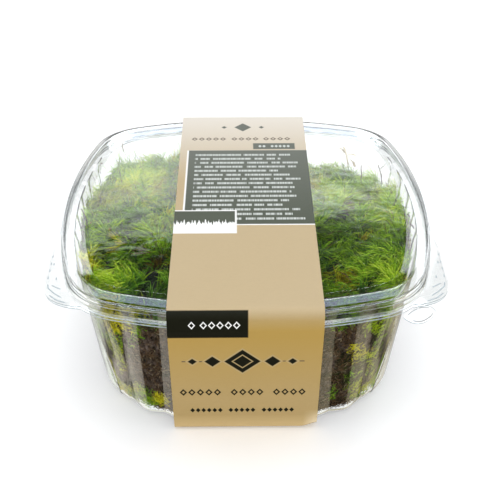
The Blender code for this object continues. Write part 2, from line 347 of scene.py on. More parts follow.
def moss_leaf():
    """Leaves green, yellow or brown by the growth attribute: R along, G by leaf, B by kind."""
    tree, place = new_material("moss_leaf")
    growth = tree.wire("Attribute", "Color", attribute_name="growth")
    along, own, kind = tree.split(growth, "SeparateColor")
    # Leaves darken towards their bases by along: painted shade down in the clump. G also holds the fans'
    # painted shade between the tufts.
    reach = (place.noise(45.0, 2.0) * 0.35 + (own - 0.175)) * 0.72 + along * 0.40
    cool = reach.ramp(
        (0.00, (0.003, 0.010, 0.006)),
        (0.25, (0.020, 0.080, 0.010)),
        (0.50, (0.070, 0.260, 0.018)),
        (0.75, (0.225, 0.510, 0.028)),
        (1.00, (0.530, 0.760, 0.090)),
    )
    lime = reach.ramp(
        (0.00, (0.010, 0.016, 0.002)),
        (0.25, (0.080, 0.130, 0.006)),
        (0.50, (0.232, 0.420, 0.008)),
        (0.75, (0.430, 0.690, 0.014)),
        (1.00, (0.740, 0.880, 0.080)),
    )
    yellow = reach.ramp(
        (0.00, (0.030, 0.018, 0.002)),
        (0.30, (0.340, 0.260, 0.003)),
        (0.60, (0.760, 0.680, 0.005)),
        (1.00, (0.960, 0.900, 0.060)),
    )
    brown = reach.ramp(
        (0.00, (0.006, 0.004, 0.002)),
        (0.40, (0.070, 0.036, 0.016)),
        (0.75, (0.220, 0.130, 0.060)),
        (1.00, (0.640, 0.540, 0.340)),
    )
    green = kind.remap(0.0, 0.3).mixed(cool, lime)
    warm = kind.remap(0.34, 0.48).mixed(green, yellow)
    return tree.shaded({
        "Base Color": kind.remap(0.62, 0.75).mixed(warm, brown),
        "Roughness": own.remap(0.0, 1.0, 0.38, 0.62),
        "Specular IOR Level": 0.15,
    })


def moss_thatch():
    """The matted heart of the clump: brown and olive threads, and at its top dark green painted shade for the
    gaps between the leaves.
    """
    tree, place = new_material("moss_thatch")
    threads = place.stretched(1.0, 1.0, 0.6).noise(480.0, 6.0, 0.7)
    dark = threads.ramp(
        (0.38, (0.012, 0.008, 0.006)),
        (0.52, (0.140, 0.100, 0.080)),
        (0.72, (0.380, 0.290, 0.240)),
    )
    olive = threads.ramp((0.35, (0.004, 0.008, 0.002)), (0.75, (0.070, 0.085, 0.015)))
    _, depth, height = tree.split(place)
    # Painted shade in the gaps: near black up to the middle, lighter olive towards the back.
    gap_painted_shade = depth.remap(0.015, 0.055).mixed((0.004, 0.010, 0.008), (0.085, 0.130, 0.050))
    colour = place.noise(60.0).remap(0.45, 0.6).mixed(dark, olive)
    return tree.shaded({
        "Base Color": height.remap(0.062, 0.070, 0.0, 0.85).mixed(colour, gap_painted_shade),
        "Roughness": threads.remap(0.3, 0.7, 0.95, 0.7),
        "Specular IOR Level": 0.08,
        "Normal": threads.bump(0.0012, 0.8),
    })


def floor_white():
    tree, place = new_material("floor_white")
    return tree.shaded({
        "Base Color": place.noise(40.0, 2.0).ramp((0.0, (0.90, 0.90, 0.90)), (1.0, (0.93, 0.93, 0.93))),
        "Roughness": 0.9,
        "Emission Color": (1.0, 1.0, 1.0),
        "Emission Strength": 0.20,
    })


# The print on the band, in millimetres. Boxes are (left, right, near, far) in x and y over the
# lid, and (left, right, top, bottom) in x and down from the lip on the front. All marks are
# plain bars and diamonds.
TOP_INK = (0.085, 0.095, 0.070)
# FAR_INK is the top's ink drawn paler, as painted light on the band's far end.
FAR_INK = (0.150, 0.160, 0.135)
BLACK_INK = (0.008, 0.008, 0.002)
WHITE_INK = (0.90, 0.90, 0.88)
PALE_INK = (0.62, 0.65, 0.62)
BROWN_INK = (0.100, 0.075, 0.055)
BARE_PAPER = (0.45, 0.33, 0.15)
SOFT_EDGE = 0.25
PANEL = (-31.8, 35.3, -24.5, 51.8)
PANEL_BORDER = 0.9
PANEL_ROWS = (-28.0, 31.0, -21.6, 49.6)
PANEL_ROW_PITCH = 4.45
RAGGED_RIGHT = 13.0
ROW_SHIFT = 37.3
CHAIN_SQUEEZE = 2.1
CHAIN_EDGE = 0.85
PICTURE_BOX = (-37.0, -5.6, -32.0, -12.0)
PICTURE_SHORE = (-25.2, -20.0)
LABEL = (4.8, 28.7, 54.0, 61.0)
FRONT_BLOCK = (-37.0, 0.4, -11.4, 4.3)
RULE = (-31.0, 27.0, 21.2, 21.9, 0.15)

# Chains of diamonds, as (groups of (left, count), middle, pitch, reach, line), solid without a line.
LABEL_CHAIN = (((7.6, 2), (14.6, 5)), 57.5, 2.3, 1.6, None)
TOP_CHAIN = (((-31.0, 5), (-8.0, 4), (10.4, 4)), 66.3, 4.1, 2.0, 0.45)
BLOCK_CHAIN = (((-27.4, 1), (-22.0, 5)), -3.7, 3.8, 2.4, 0.35)
HEADING = (((-33.2, 5), (-8.4, 4), (12.2, 4)), 45.4, 4.15, 2.9, 0.5)
FOOTING = (((-28.5, 6), (-9.5, 5), (7.0, 6)), 60.0, 2.75, 2.0, None)

# Single diamonds, as (x, y, reach). Those on the front have a bare margin, and the first of
# them has a bare ring, between the two reaches given.
TOP_EMBLEMS = ((-1.0, 80.7, 5.0), (-12.0, 80.7, 1.6), (10.0, 80.7, 1.6))
EMBLEMS = ((-2.3, 21.6, 8.6), (-16.5, 21.6, 3.8), (11.9, 21.6, 3.8), (-26.0, 21.6, 2.2), (21.4, 21.6, 2.2))
EMBLEM_MARGIN = 1.2
EMBLEM_RING = (5.2, 4.4)


class Print:
    """Masks for printed marks, drawn on two coordinates in millimetres."""

    def __init__(self, across, down, where):
        self.across = across
        self.down = down
        self.where = where

    def box(self, left, right, top, bottom, soft=SOFT_EDGE):
        wide = abs(self.across - (left + right) / 2) - (right - left) / 2
        tall = abs(self.down - (top + bottom) / 2) - (bottom - top) / 2
        return wide.math("MAXIMUM", tall).remap(-soft, soft, 1.0, 0.0) * self.where

    def diamond(self, x, y, reach):
        away = abs(self.across - x) + abs(self.down - y)
        return away.remap(reach - SOFT_EDGE, reach + SOFT_EDGE, 1.0, 0.0) * self.where

    def chain(self, groups, middle, pitch, reach, line):
        """Groups of touching diamonds in one row, hollow where a line width is given."""
        tall = abs(self.down - middle) * (1.0 / reach)
        marks = []
        for left, count in groups:
            place = (self.across - left) * (1.0 / pitch)
            away = abs(place.math("FRACT") - 0.5) * CHAIN_SQUEEZE + tall
            mark = away.remap(CHAIN_EDGE, 1.0, 1.0, 0.0)
            if line:
                mark *= away.remap(CHAIN_EDGE - line, 1.0 - line)
            marks.append(mark * place.math("COMPARE", count / 2, count / 2))
        return sum(marks) * self.where

    def small_rows(self, box, pitch):
        """Rows of fine marks, each row with its own breaks and its own end."""
        row = (box[3] - self.down) * (1.0 / pitch)
        number = row.math("FLOOR")
        along = self.across + number * ROW_SHIFT
        bar = abs(row.math("FRACT") - 0.5).remap(0.16, 0.28, 1.0, 0.0)
        bar *= along.line_noise(0.30, 0.0).remap(0.30, 0.36)
        bar *= along.line_noise(1.5, 1.0).remap(0.38, 0.56, 0.35, 1.0)
        chance = number.tree.wire("TexWhiteNoise", "Value", {"W": number}, noise_dimensions="1D")
        end = chance.remap(0.0, 1.0, box[1] - RAGGED_RIGHT, box[1])
        return bar * self.across.math("LESS_THAN", end) * self.box(*box)


def grown(box):
    """A box with a border round it."""
    return [side + way * PANEL_BORDER for side, way in zip(box, (-1, 1, -1, 1))]


def band_paper():
    """Brown paper with long fibres, under the printed blocks, with painted light on it."""
    tree, place = new_material("band_paper")
    fibres = place.stretched(0.4, 1.0, 1.0).noise(1100.0, 5.0, 0.7)
    kraft = fibres.ramp(
        (0.25, (0.415, 0.298, 0.130)),
        (0.50, (0.442, 0.320, 0.142)),
        (0.80, (0.462, 0.338, 0.155)),
    )
    x, y, _ = [part * 1000.0 for part in tree.split(place)]
    down = tree.wire("Attribute", "Fac", attribute_name="run") * 1000.0
    _, facing_back, facing_up = tree.split(tree.wire("NewGeometry", "Normal"))
    over = facing_up.math("GREATER_THAN", 0.9) * y.math("GREATER_THAN", -80.0)
    face = (facing_up - facing_back).math("GREATER_THAN", 0.3) * y.math("LESS_THAN", -50.0)
    top = Print(x, y, over)
    front = Print(x, down, face)
    # Painted light: the panel's ink grows paler towards the band's far end.
    ink_painted_paler_far = y.remap(-20.0, 50.0).mixed(TOP_INK, FAR_INK)
    shore = x.line_noise(0.9, 3.0).remap(0.3, 0.7, *PICTURE_SHORE)

    # After the paper's own mottle, painted light: a golden glow under the lip, and painted
    # highlights that pale it at the foot, its right corner, where it faces up and at the far end.
    layers = [
        (place.noise(30.0).remap(0.35, 0.65, 0.0, 0.2), (0.47, 0.35, 0.18)),
        (down.remap(-10.0, 0.0) * down.remap(4.0, 50.0, 0.85, 0.15) * face, (0.43, 0.272, 0.055)),
        (down.remap(64.0, 74.0, 0.0, 0.7) * face, (0.70, 0.52, 0.26)),
        (down.remap(60.0, 73.0, 0.0, 0.9) * x.remap(28.0, 35.2) * face, (0.95, 0.82, 0.58)),
        (facing_up.remap(0.0, 1.0, 0.0, 0.28), (0.64, 0.57, 0.47)),
        (y.remap(20.0, 92.0, 0.0, 0.75) * over, (0.80, 0.77, 0.72)),
    ]
    layers += [
        (top.box(*grown(PANEL)), WHITE_INK),
        (top.box(PANEL[0], PANEL[1] + 2, PANEL[2], PANEL[3] + PANEL_BORDER), ink_painted_paler_far),
        (top.small_rows(PANEL_ROWS, PANEL_ROW_PITCH), PALE_INK),
        (top.box(*grown(PICTURE_BOX)), WHITE_INK),
        (top.box(*PICTURE_BOX) * y.math("GREATER_THAN", shore), TOP_INK),
        (top.box(*LABEL), FAR_INK),
        (top.chain(*LABEL_CHAIN), PALE_INK),
        (top.chain(*TOP_CHAIN), BROWN_INK),
        (front.box(*FRONT_BLOCK), BLACK_INK),
        (front.chain(*BLOCK_CHAIN), WHITE_INK),
        (front.box(*RULE), BROWN_INK),
        (front.chain(*HEADING), BLACK_INK),
        (front.chain(*FOOTING), BLACK_INK),
    ]
    layers += [(top.diamond(*emblem), FAR_INK) for emblem in TOP_EMBLEMS]
    for across, height, reach in EMBLEMS:
        layers.append((front.diamond(across, height, reach + EMBLEM_MARGIN), BARE_PAPER))
        layers.append((front.diamond(across, height, reach), BLACK_INK))
    for reach, ink in zip(EMBLEM_RING, (BARE_PAPER, BLACK_INK)):
        layers.append((front.diamond(*EMBLEMS[0][:2], reach), ink))
    colour = kraft
    for mask, shade in layers:
        colour = mask.mixed(colour, shade)
    return tree.shaded({
        "Base Color": colour,
        "Roughness": fibres.remap(0.3, 0.8, 0.62, 0.78),
        "Specular IOR Level": 0.2,
        "Normal": fibres.bump(0.00005, 0.5),
    })


def raw_paper():
    """The band's cut edges, paler than its faces."""
    tree, place = new_material("raw_paper")
    return tree.shaded({
        "Base Color": place.noise(2500.0, 4.0).ramp((0.3, (0.72, 0.66, 0.55)), (0.7, (0.84, 0.80, 0.72))),
        "Roughness": 0.85,
        "Specular IOR Level": 0.2,
    })


# Bowed squares and lofts ---------------------------------------------------------------------


def outwards(angle):
    """The flat direction that makes this angle with -Y."""
    return Vector((math.sin(angle), -math.cos(angle)))


class BowedSquare:
    """A square of four bowed sides and four round corners, with a normal at every point."""

    def __init__(self, half, bow, corner):
        self.side = (half * half + bow * bow) / (2 * bow)
        self.side_centre = self.side - half
        self.corner = corner
        span = self.side - corner
        drop = self.side_centre
        self.centre = (math.sqrt(2 * span * span - drop * drop) - drop) / 2
        self.meet = math.atan2(self.centre, self.centre + drop)

    def angle_at(self, x):
        """The normal's angle from -Y where the front side has this X."""
        reach = abs(x)
        if reach <= self.side * math.sin(self.meet):
            angle = math.asin(reach / self.side)
        else:
            angle = math.asin((reach - self.centre) / self.corner)
        return math.copysign(angle, x)

    def at(self, angle):
        """The point whose normal makes this angle with -Y, in the front right quarter."""
        if angle > math.pi / 4:
            point = self.at(math.pi / 2 - angle)
            return Vector((-point.y, -point.x))
        if angle < 0:
            point = self.at(-angle)
            return Vector((-point.x, point.y))
        if angle <= self.meet:
            return Vector((0, self.side_centre)) + outwards(angle) * self.side
        return Vector((self.centre, -self.centre)) + outwards(angle) * self.corner


def ring_of(square, places, height, offset=0.0, ribs=0.0):
    """One closed ring of points, the four quarters turned from the front one."""
    last = square.angle_at(places[-1])
    step = (math.pi / 2 - 2 * last) / (CORNER_POINTS + 1)
    angles = [square.angle_at(x) for x in places]
    angles += [last + step * (i + 1) for i in range(CORNER_POINTS)]
    points = []
    for turn in range(4):
        around = Matrix.Rotation(turn * math.pi / 2, 2)
        for index, angle in enumerate(angles):
            point = square.at(angle)
            move = offset
            if ribs and index < len(places):
                move += ribs * rib_shift(places[index]) * ribbed_share(around @ point, 4 * MM)
            elif ribs:
                bulge = corner_bulge(square, last, angle, turn)
                move += ribs * (bulge - RIB_VALLEY * ribbed_share(around @ point, 12 * MM))
            point += outwards(angle) * move
            points.append((around @ point).to_3d() + UP * height)
    return points


def ribbed_share(point, blend):
    """How much of the ribs' depth is left here: the side walls' front ends are plain."""
    sideways = smooth_step(abs(point.x) - abs(point.y), -blend, blend)
    return 1 - sideways * (1 - smooth_step(point.y, *SIDE_RIBS_START_Y))


def corner_bulge(square, last, angle, turn):
    """How far a corner stands out of the round one, with a flatter panel next to the front or back."""
    near, far = (FLAT_CORNER, last) if turn % 2 == 0 else (last, FLAT_CORNER)
    reach = []
    for end, facet in ((last, near), (math.pi / 2 - last, math.pi / 2 - far)):
        facing = outwards(facet)
        reach.append((square.at(end) - square.at(angle)).dot(facing) / outwards(angle).dot(facing))
    return sum(reach) / 2 - math.hypot((reach[0] - reach[1]) / 2, CORNER_ROUND)


def rib_shift(x):
    """How far a rib stands out of the plain wall, or falls short of it in a valley."""
    away = abs(2 * ((x / RIB_PITCH + RIBS_PER_SIDE / 2) % 1.0) - 1)
    fall = (math.hypot(away, CREST_ROUND) - CREST_ROUND) / (math.hypot(1, CREST_ROUND) - CREST_ROUND)
    return RIB_CREST - (RIB_CREST + RIB_VALLEY) * fall


def stations(count):
    """Evenly spaced places along a side, over the width that holds the ribs."""
    return [RIB_HALF_SPAN * (2 * i / count - 1) for i in range(count + 1)]


def tab_edge(point, inset):
    """Pushes a point of the lip's front half out to the edge of its corner's tab."""
    side = math.copysign(1.0, point.x)
    x = abs(point.x)
    y = point.y
    side_x = TAB_SIDE_X - inset
    if y > TAB_CORNER_START_Y:
        reach = smooth_step(-y, -TAB_SIDE_Y[0], -TAB_SIDE_Y[1])
        return Vector((side * (x + max(side_x - x, 0) * reach), y, point.z))
    centre = BowedSquare(*RIM_SQUARE).centre
    first = math.atan2(-TAB_CORNER_START_Y - centre, side_x - centre)
    angle = math.atan2(-y - centre, x - centre)
    t = (angle - first) / (TAB_END_ANGLE - first)
    if t > 1:
        return point
    t = max(t, 0.0)
    start = Vector((side_x, TAB_CORNER_START_Y))
    edge = start * (1 - t) ** 2 + Vector(TAB_CORNER) * 2 * t * (1 - t) + Vector(TAB_CORNER_END) * t * t
    return Vector((side * (edge.x - inset * (1 - t)), edge.y + inset * t, point.z))


def arc_points(start, corner, end, radius, count):
    """Points of an arc that rounds the corner of the path start, corner, end."""
    back = (start - corner).normalized()
    ahead = (end - corner).normalized()
    half = back.angle(ahead) / 2
    reach = min(radius / math.tan(half), 0.45 * min((start - corner).length, (end - corner).length))
    radius = reach * math.tan(half)
    centre = corner + (back + ahead).normalized() * (radius / math.sin(half))
    first = corner + back * reach - centre
    last = corner + ahead * reach - centre
    turn = first.angle(last)
    points = []
    for i in range(count + 1):
        angle = turn * i / count
        point = first * math.sin(turn - angle) + last * math.sin(angle)
        points.append(centre + point / math.sin(turn))
    return points


def rounded(stops, count):
    """The path through these (x, y, radius) stops, with every inner corner rounded."""
    places = [Vector(stop[:2]) for stop in stops]
    path = [places[0]]
    for i in range(1, len(stops) - 1):
        path += arc_points(places[i - 1], places[i], places[i + 1], stops[i][2], count)
    return path + [places[-1]]


def new_object(name, mesh, material):
    obj = bpy.data.objects.new(name, mesh)
    bpy.context.scene.collection.objects.link(obj)
    mesh.materials.append(material)
    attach(obj, "root")
    return obj


def new_mesh(name, points, faces):
    mesh = bpy.data.meshes.new(name)
    mesh.from_pydata([tuple(point) for point in points], [], faces)
    return mesh


def add_rings(points, faces, rings):
    """Adds closed rings of points of one length, with faces from each to the next."""
    count = len(rings[0])
    for first in range(len(points), len(points) + count * (len(rings) - 1), count):
        for i in range(count):
            j = (i + 1) % count
            faces.append((first + i, first + j, first + count + j, first + count + i))
    points += [point for ring in rings for point in ring]


def ring_mesh(name, rings, centre=None):
    """A mesh through closed rings, with a fan to the centre inside the first."""
    points, faces = [], []
    add_rings(points, faces, rings)
    if centre is not None:
        count = len(rings[0])
        points.append(centre)
        faces += [(len(points) - 1, (i + 1) % count, i) for i in range(count)]
    return new_mesh(name, points, faces)


def tube_rings(path, upright, radius, end, sides, flat=1.0, crook=0.0):
    """Rings round a path, thinner at its ends, and uneven where it is crooked.

    They are flattened by flat, and turned inside out where it is negative.
    """
    rings = []
    for i, place in enumerate(path):
        ahead = (path[min(i + 1, len(path) - 1)] - path[max(i - 1, 0)]).normalized()
        side = ahead.cross(upright).normalized()
        other = ahead.cross(side) * flat
        thick = radius * (end if i in (0, len(path) - 1) else 1.0)
        centre = place
        if crook:
            centre = place + noise.noise_vector(place * 900) * crook
            thick *= 0.75 + 0.5 * abs(noise.noise(place * 1300))
        angles = [2 * math.pi * k / sides for k in range(sides)]
        rings.append([centre + (side * math.cos(a) + other * math.sin(a)) * thick for a in angles])
    return rings


def thickened(obj, thickness, rim=None, sharp_degrees=40):
    """Gives an open surface its thickness, away from its normals, and its rim its own material."""
    if rim is not None:
        obj.data.materials.append(rim)
    modifier = obj.modifiers.new("Sheet", "SOLIDIFY")
    modifier.thickness = thickness
    modifier.offset = -1
    modifier.use_even_offset = True
    modifier.material_offset_rim = 0 if rim is None else 1
    graph = bpy.context.evaluated_depsgraph_get()
    solid = bpy.data.meshes.new_from_object(obj.evaluated_get(graph))
    obj.modifiers.clear()
    obj.data = solid
    solid.shade_smooth()
    solid.set_sharp_from_angle(angle=math.radians(sharp_degrees))


# The clear shells ----------------------------------------------------------------------------


def clear_sheet(name, mesh, plastic, thickness, rim=None):
    """A piece of clear sheet made from its outer surface. It throws no shadow of its own."""
    sheet = new_object(name, mesh, plastic)
    thickened(sheet, thickness, rim)
    sheet.visible_shadow = False
    return sheet


def panel_rings(ring, steps, lift):
    """Rings from a small one out to this one, each raised a little by lift(x, y)."""
    rings = []
    for i in range(1, steps):
        share = i / steps
        places = [(point.x * share, point.y * share, point.z) for point in ring]
        rings.append([Vector((x, y, z + lift(x, y) * (1 - share ** 4))) for x, y, z in places])
    return rings + [ring]


def sheet_wave(height, spread, seed):
    """A gentle unevenness of a formed sheet's flat panel."""
    return lambda x, y: height * noise.noise(Vector((x / spread, y / spread, seed)))


def flange_rings(places, profile, lip_z, tab_inset):
    """Rings through a rounded profile from the rim out to the lip with its pull tabs."""
    rim = BowedSquare(*RIM_SQUARE)
    stops = [[value * MM for value in stop] for stop in profile]
    outline = rounded(stops + [(LIP_OFFSET, lip_z, 0.0)], ROUND_STEPS)
    rings = [ring_of(rim, places, place.y, place.x) for place in outline[:-1]]
    lip = ring_of(rim, places, lip_z, LIP_OFFSET)
    return rings + [[tab_edge(p, tab_inset) if p.y < 0 else p for p in lip]]


def build_tub(edge):
    places = stations(RIBS_PER_SIDE * RIB_SEGMENTS)
    base = BowedSquare(*BASE_SQUARE)
    rings = []
    for i in range(7):
        turn = math.pi / 2 * i / 6
        height = TUB_BOTTOM_Z + (WALL_FOOT_Z - TUB_BOTTOM_Z) * (1 - math.cos(turn))
        rings.append(ring_of(base, places, height, BASE_ROUND * (math.sin(turn) - 1), 1.0))
    rings = panel_rings(rings[0], TUB_PANEL_RINGS, sheet_wave(*TUB_WAVE)) + rings[1:]
    wall_steps = 10
    for i in range(1, wall_steps + 1):
        t = i / wall_steps
        square = BowedSquare(*[a + (b - a) * t for a, b in zip(BASE_SQUARE, WALL_TOP_SQUARE)])
        rings.append(ring_of(square, places, WALL_FOOT_Z + (RIB_TOP_Z - WALL_FOOT_Z) * t, 0.0, 1.0))
    top = BowedSquare(*WALL_TOP_SQUARE)
    collar_steps = 4
    for i in range(1, collar_steps):
        t = i / collar_steps
        height = RIB_TOP_Z + (TUB_FLANGE[0][1] * MM - RIB_TOP_Z) * t
        rings.append(ring_of(top, places, height, COLLAR_SPREAD * t, 1 - t * t))
    rings += flange_rings(places, TUB_FLANGE, TUB_LIP_Z, TUB_TAB_INSET)
    mesh = ring_mesh("tub_shell", rings, UP * TUB_BOTTOM_Z)
    plastic = clear_plastic("tub_plastic", TUB_TINT)
    tub = clear_sheet("tub_shell", mesh, plastic, SHEET, edge)
    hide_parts("tub")


def build_lid(edge):
    rings = flange_rings(stations(LID_SIDE_POINTS), LID_PROFILE, LID_LIP_Z, 0.0)
    wave = sheet_wave(*LID_WAVE)
    rings = panel_rings(rings[0], LID_PANEL_RINGS, wave) + rings[1:]
    mesh = ring_mesh("lid_shell", rings, UP * (LID_PROFILE[0][1] * MM + wave(0, 0)))
    mesh.flip_normals()
    plastic = clear_plastic("lid_plastic", LID_TINT)
    lid = clear_sheet("lid_shell", mesh, plastic, SHEET, edge)
    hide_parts("lid")


def build_grips(edge):
    """The raised dashes on both pull tabs, in the cut edges' opaque blue-grey: painted light for clear
    ridges. Their faces point inwards.
    """
    points, faces = [], []
    for grip in GRIPS:
        for side in (1, -1):
            path = [Vector((side * x * MM, y * MM, LID_LIP_Z)) for x, y in grip]
            fine = [a.lerp(b, share) for a, b in zip(path, path[1:]) for share in (0.0, 0.2, 0.5, 0.8)]
            add_rings(points, faces, tube_rings(fine + path[-1:], UP, GRIP_RADIUS, 0.35, 8, flat=-1.0))
    mesh = new_mesh("tab_grips", points, faces)
    mesh.shade_smooth()
    new_object("tab_grips", mesh, edge)


def build_buttons():
    """The two snap buttons at the lid's back corners."""
    plastic = clear_plastic("button_plastic", BUTTON_TINT)
    angles = [math.pi * k / 16 for k in range(32)]
    for index, button in enumerate(BUTTONS):
        x, y, radius = [value * MM for value in button]
        foot = Vector((x, y, BUTTON_FOOT_Z))
        rings = []
        for across, height in BUTTON_PROFILE:
            reach = radius * across
            centre = foot + UP * height * MM
            rings.append([centre + Vector((math.cos(a), math.sin(a), 0)) * reach for a in angles])
        name = "snap_button_%d" % (index + 1)
        mesh = ring_mesh(name, rings, foot + UP * BUTTON_PROFILE[0][1] * MM)
        mesh.flip_normals()
        clear_sheet(name, mesh, plastic, BUTTON_SHEET)


def build_lower_tab(edge):
    """The tub's own small pull tab, which shows under the lid's on the right."""
    corners = [Vector((x, y)) * MM for x, y in LOWER_TAB]
    outline = []
    for i, corner in enumerate(corners):
        before, after, later = [corners[(i + k) % len(corners)] for k in (-1, 1, 2)]
        handles = (corner + (after - before) / 6, after - (later - corner) / 6)
        outline += interpolate_bezier(corner, *handles, after, 5)[:-1]
    middle = sum(corners, Vector((0, 0))) / len(corners)
    rings = []
    for share, bead in LOWER_TAB_RINGS:
        ring = []
        for place in outline:
            flat = middle.lerp(place, share)
            slope = smooth_step(flat.length, *LOWER_TAB_SLOPE)
            height = LOWER_TAB_Z[0] + (LOWER_TAB_Z[1] - LOWER_TAB_Z[0]) * slope + bead * MM
            ring.append(Vector((flat.x, flat.y, height)))
        rings.append(ring)
    centre = sum(rings[0], Vector((0, 0, 0))) / len(outline)
    mesh = ring_mesh("lower_tab", rings, centre)
    mesh.flip_normals()
    plastic = clear_plastic("lower_tab_plastic", LOWER_TAB_TINT)
    clear_sheet("lower_tab", mesh, plastic, LOWER_TAB_SHEET, edge)


# The paper band ------------------------------------------------------------------------------


def band_side(foot_fold, pieces=None):
    """Half of the band's path, from under its middle to over it, with the cuts made in it."""
    stops = ((0.0, 0.0, 0.0), (*BAND_FOOT, foot_fold), (*BAND_LIP, LIP_FOLD),
             (BAND_LIP[0], BAND_TOP_Z, BAND_FOLD), (0.0, BAND_TOP_Z, 0.0))
    outline = rounded(stops, 8)
    steps = list(zip(outline, outline[1:]))
    pieces = pieces or [max(1, round((b - a).length / BAND_PIECE)) for a, b in steps]
    path = []
    for (first, second), count in zip(steps, pieces):
        path += [first.lerp(second, i / count) for i in range(count)]
    return path + [outline[-1]], pieces


def build_band():
    straight, pieces = band_side(FOOT_FOLD)
    lip = min(range(len(straight)), key=lambda i: (straight[i] - Vector(BAND_LIP)).length)
    back = [Vector((-p.x, p.y)) for p in straight[-2:0:-1]]
    rings, runs = [], []
    for column in range(BAND_COLUMNS + 1):
        x = BAND_CENTRE_X + BAND_HALF_WIDTH * (2 * column / BAND_COLUMNS - 1)
        curl = smooth_step(x, CURL_START_X, BAND_HALF_WIDTH)
        front, _ = band_side(FOOT_FOLD + (CURLED_FOLD - FOOT_FOLD) * curl, pieces)
        rings.append([Vector((x, p.x, p.y)) for p in front + back])
        lengths = [0.0]
        for first, second in zip(front, front[1:]):
            lengths.append(lengths[-1] + (second - first).length)
        run = [lengths[lip] - length for length in lengths]
        runs += run + run[-2:0:-1]
    mesh = ring_mesh("band", rings)
    mesh.flip_normals()
    layer = mesh.attributes.new("run", "FLOAT", "POINT")
    layer.data.foreach_set("value", runs)
    band = new_object("band", mesh, band_paper())
    thickened(band, PAPER, raw_paper(), 60)
    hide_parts("paper_band")


# Moss ----------------------------------------------------------------------------------------

# The clump's top: tufts of one sweep, fans of strands in them, and single loose strands.
TOP_SEED = 11
TUFT_PITCH = 21 * MM
FAN_PITCH = 6.4 * MM
FAN_STRANDS = 88
STRAND_LENGTH = (6.5 * MM, 12.5 * MM)
STRAND_WIDTH = (0.36 * MM, 0.66 * MM)
LOOSE_STRANDS = 900
LOOSE_LENGTH = (7.0 * MM, 14.0 * MM)
LOOSE_WIDTH = (0.30 * MM, 0.42 * MM)

# The clump's sides: short leaves against the wall.
WALL_SEED = 23
WALL_TUFTS = 9000
WALL_TUFT_LEAVES = 8
LEAF_LENGTH = (1.6 * MM, 4.6 * MM)
LEAF_WIDTH = (0.30 * MM, 0.60 * MM)
MOSS_WALL_GAP = 0.9 * MM
MOSS_FLOOR = 1.6 * MM
MOSS_CEILING = 82.5 * MM

# How far the dark heart lies under the clump's sides and its top, in mm, and how much its
# lumps change that.
HEART_INWARDS = 0.9
HEART_SIDE_LUMP = 0.8
HEART_SINK = 9.5
HEART_TOP_LUMP = 2.5
HEART_BACK_SINK = 3.5

# How bright the fans are: at least, by chance, by their tuft and at the back, with more
# contrast between the tufts there, and darker between the tufts as painted shade.
FAN_BRIGHT = 0.17
FAN_CHANCE = 0.26
TUFT_CHANCE = 0.50
BACK_BRIGHT = 0.13
BACK_CONTRAST = 0.62
PAINTED_VALLEY_SHADE = 0.60
YELLOW_FANS = 0.012
BROWN_FANS = 0.01

# How far the fans lie under the clump's outside, in mm: by chance and between the tufts. The
# depth of their roots and the reach and the spread of their strands' starts are in mm too.
CHANCE_DROP = 3.0
VALLEY_DROP = 12.0
ROOT_DEPTH = (6.0, 8.5)
ROOT_REACH = 2.2
ROOT_SPREAD = 3.5

# Where a ribbon's cross sections stand along it.
STRAND_STATIONS = np.array((0.0, 0.28, 0.55, 0.8, 1.0))
LEAF_STATIONS = np.array((0.0, 0.5, 1.0))

# Kinds of growth: green near 0, then lime, yellow, orange and brown.
LIME, YELLOW, BROWN = 0.3, 0.5, 0.8
DEAD = 0.9

# Fans that stand out, as (x, y and reach in mm, added brightness, sinking in mm, kind). A
# negative brightness goes with sinking, and is painted shade in the hollow.
FAN_ACCENTS = (
    (-80, 48, 14, 0.0, 4.5, 0.20), (-69, -56, 13, 0.45, 0.0, 0.26), (-78, -39, 7, 0.35, 0.0, 0.50),
    (-55, -45, 9, 0.10, 0.0, 0.10), (-49, -62, 9, -0.45, 5.0, 0.05), (-43, -45, 8, -0.30, 3.0, 0.70),
    (-78, -18, 10, 0.30, 0.0, 0.28), (-46, 10, 11, -0.25, 3.0, 0.08), (-60, 54, 16, 0.25, 0.0, 0.26),
    (50, -35, 9, 0.30, 0.0, 0.24), (42, -45, 7, -0.45, 5.0, 0.05), (46, -58, 9, -0.45, 5.0, 0.66),
    (75, -50, 12, 0.50, 0.0, 0.28), (64, -46, 8, 0.25, 0.0, 0.20), (58, -66, 7, -0.10, 2.0, 0.05),
    (59, -3, 4, 0.25, 0.0, 0.50), (77, 8, 3, 0.10, 0.0, 0.72), (73, -11, 10, 0.25, 0.0, 0.28),
    (45, 5, 10, -0.25, 3.0, 0.05), (60, 45, 16, 0.20, 0.0, 0.20), (85, -24, 7, 0.45, 0.0, 0.27),
    (86, -6, 6, 0.30, 0.0, 0.30), (86, 14, 7, 0.25, 0.0, 0.24), (-84, 4, 7, 0.35, 0.0, 0.30),
    (-85, 24, 7, 0.15, 0.0, 0.26), (70, -62, 9, 0.45, 0.0, 0.26),
)

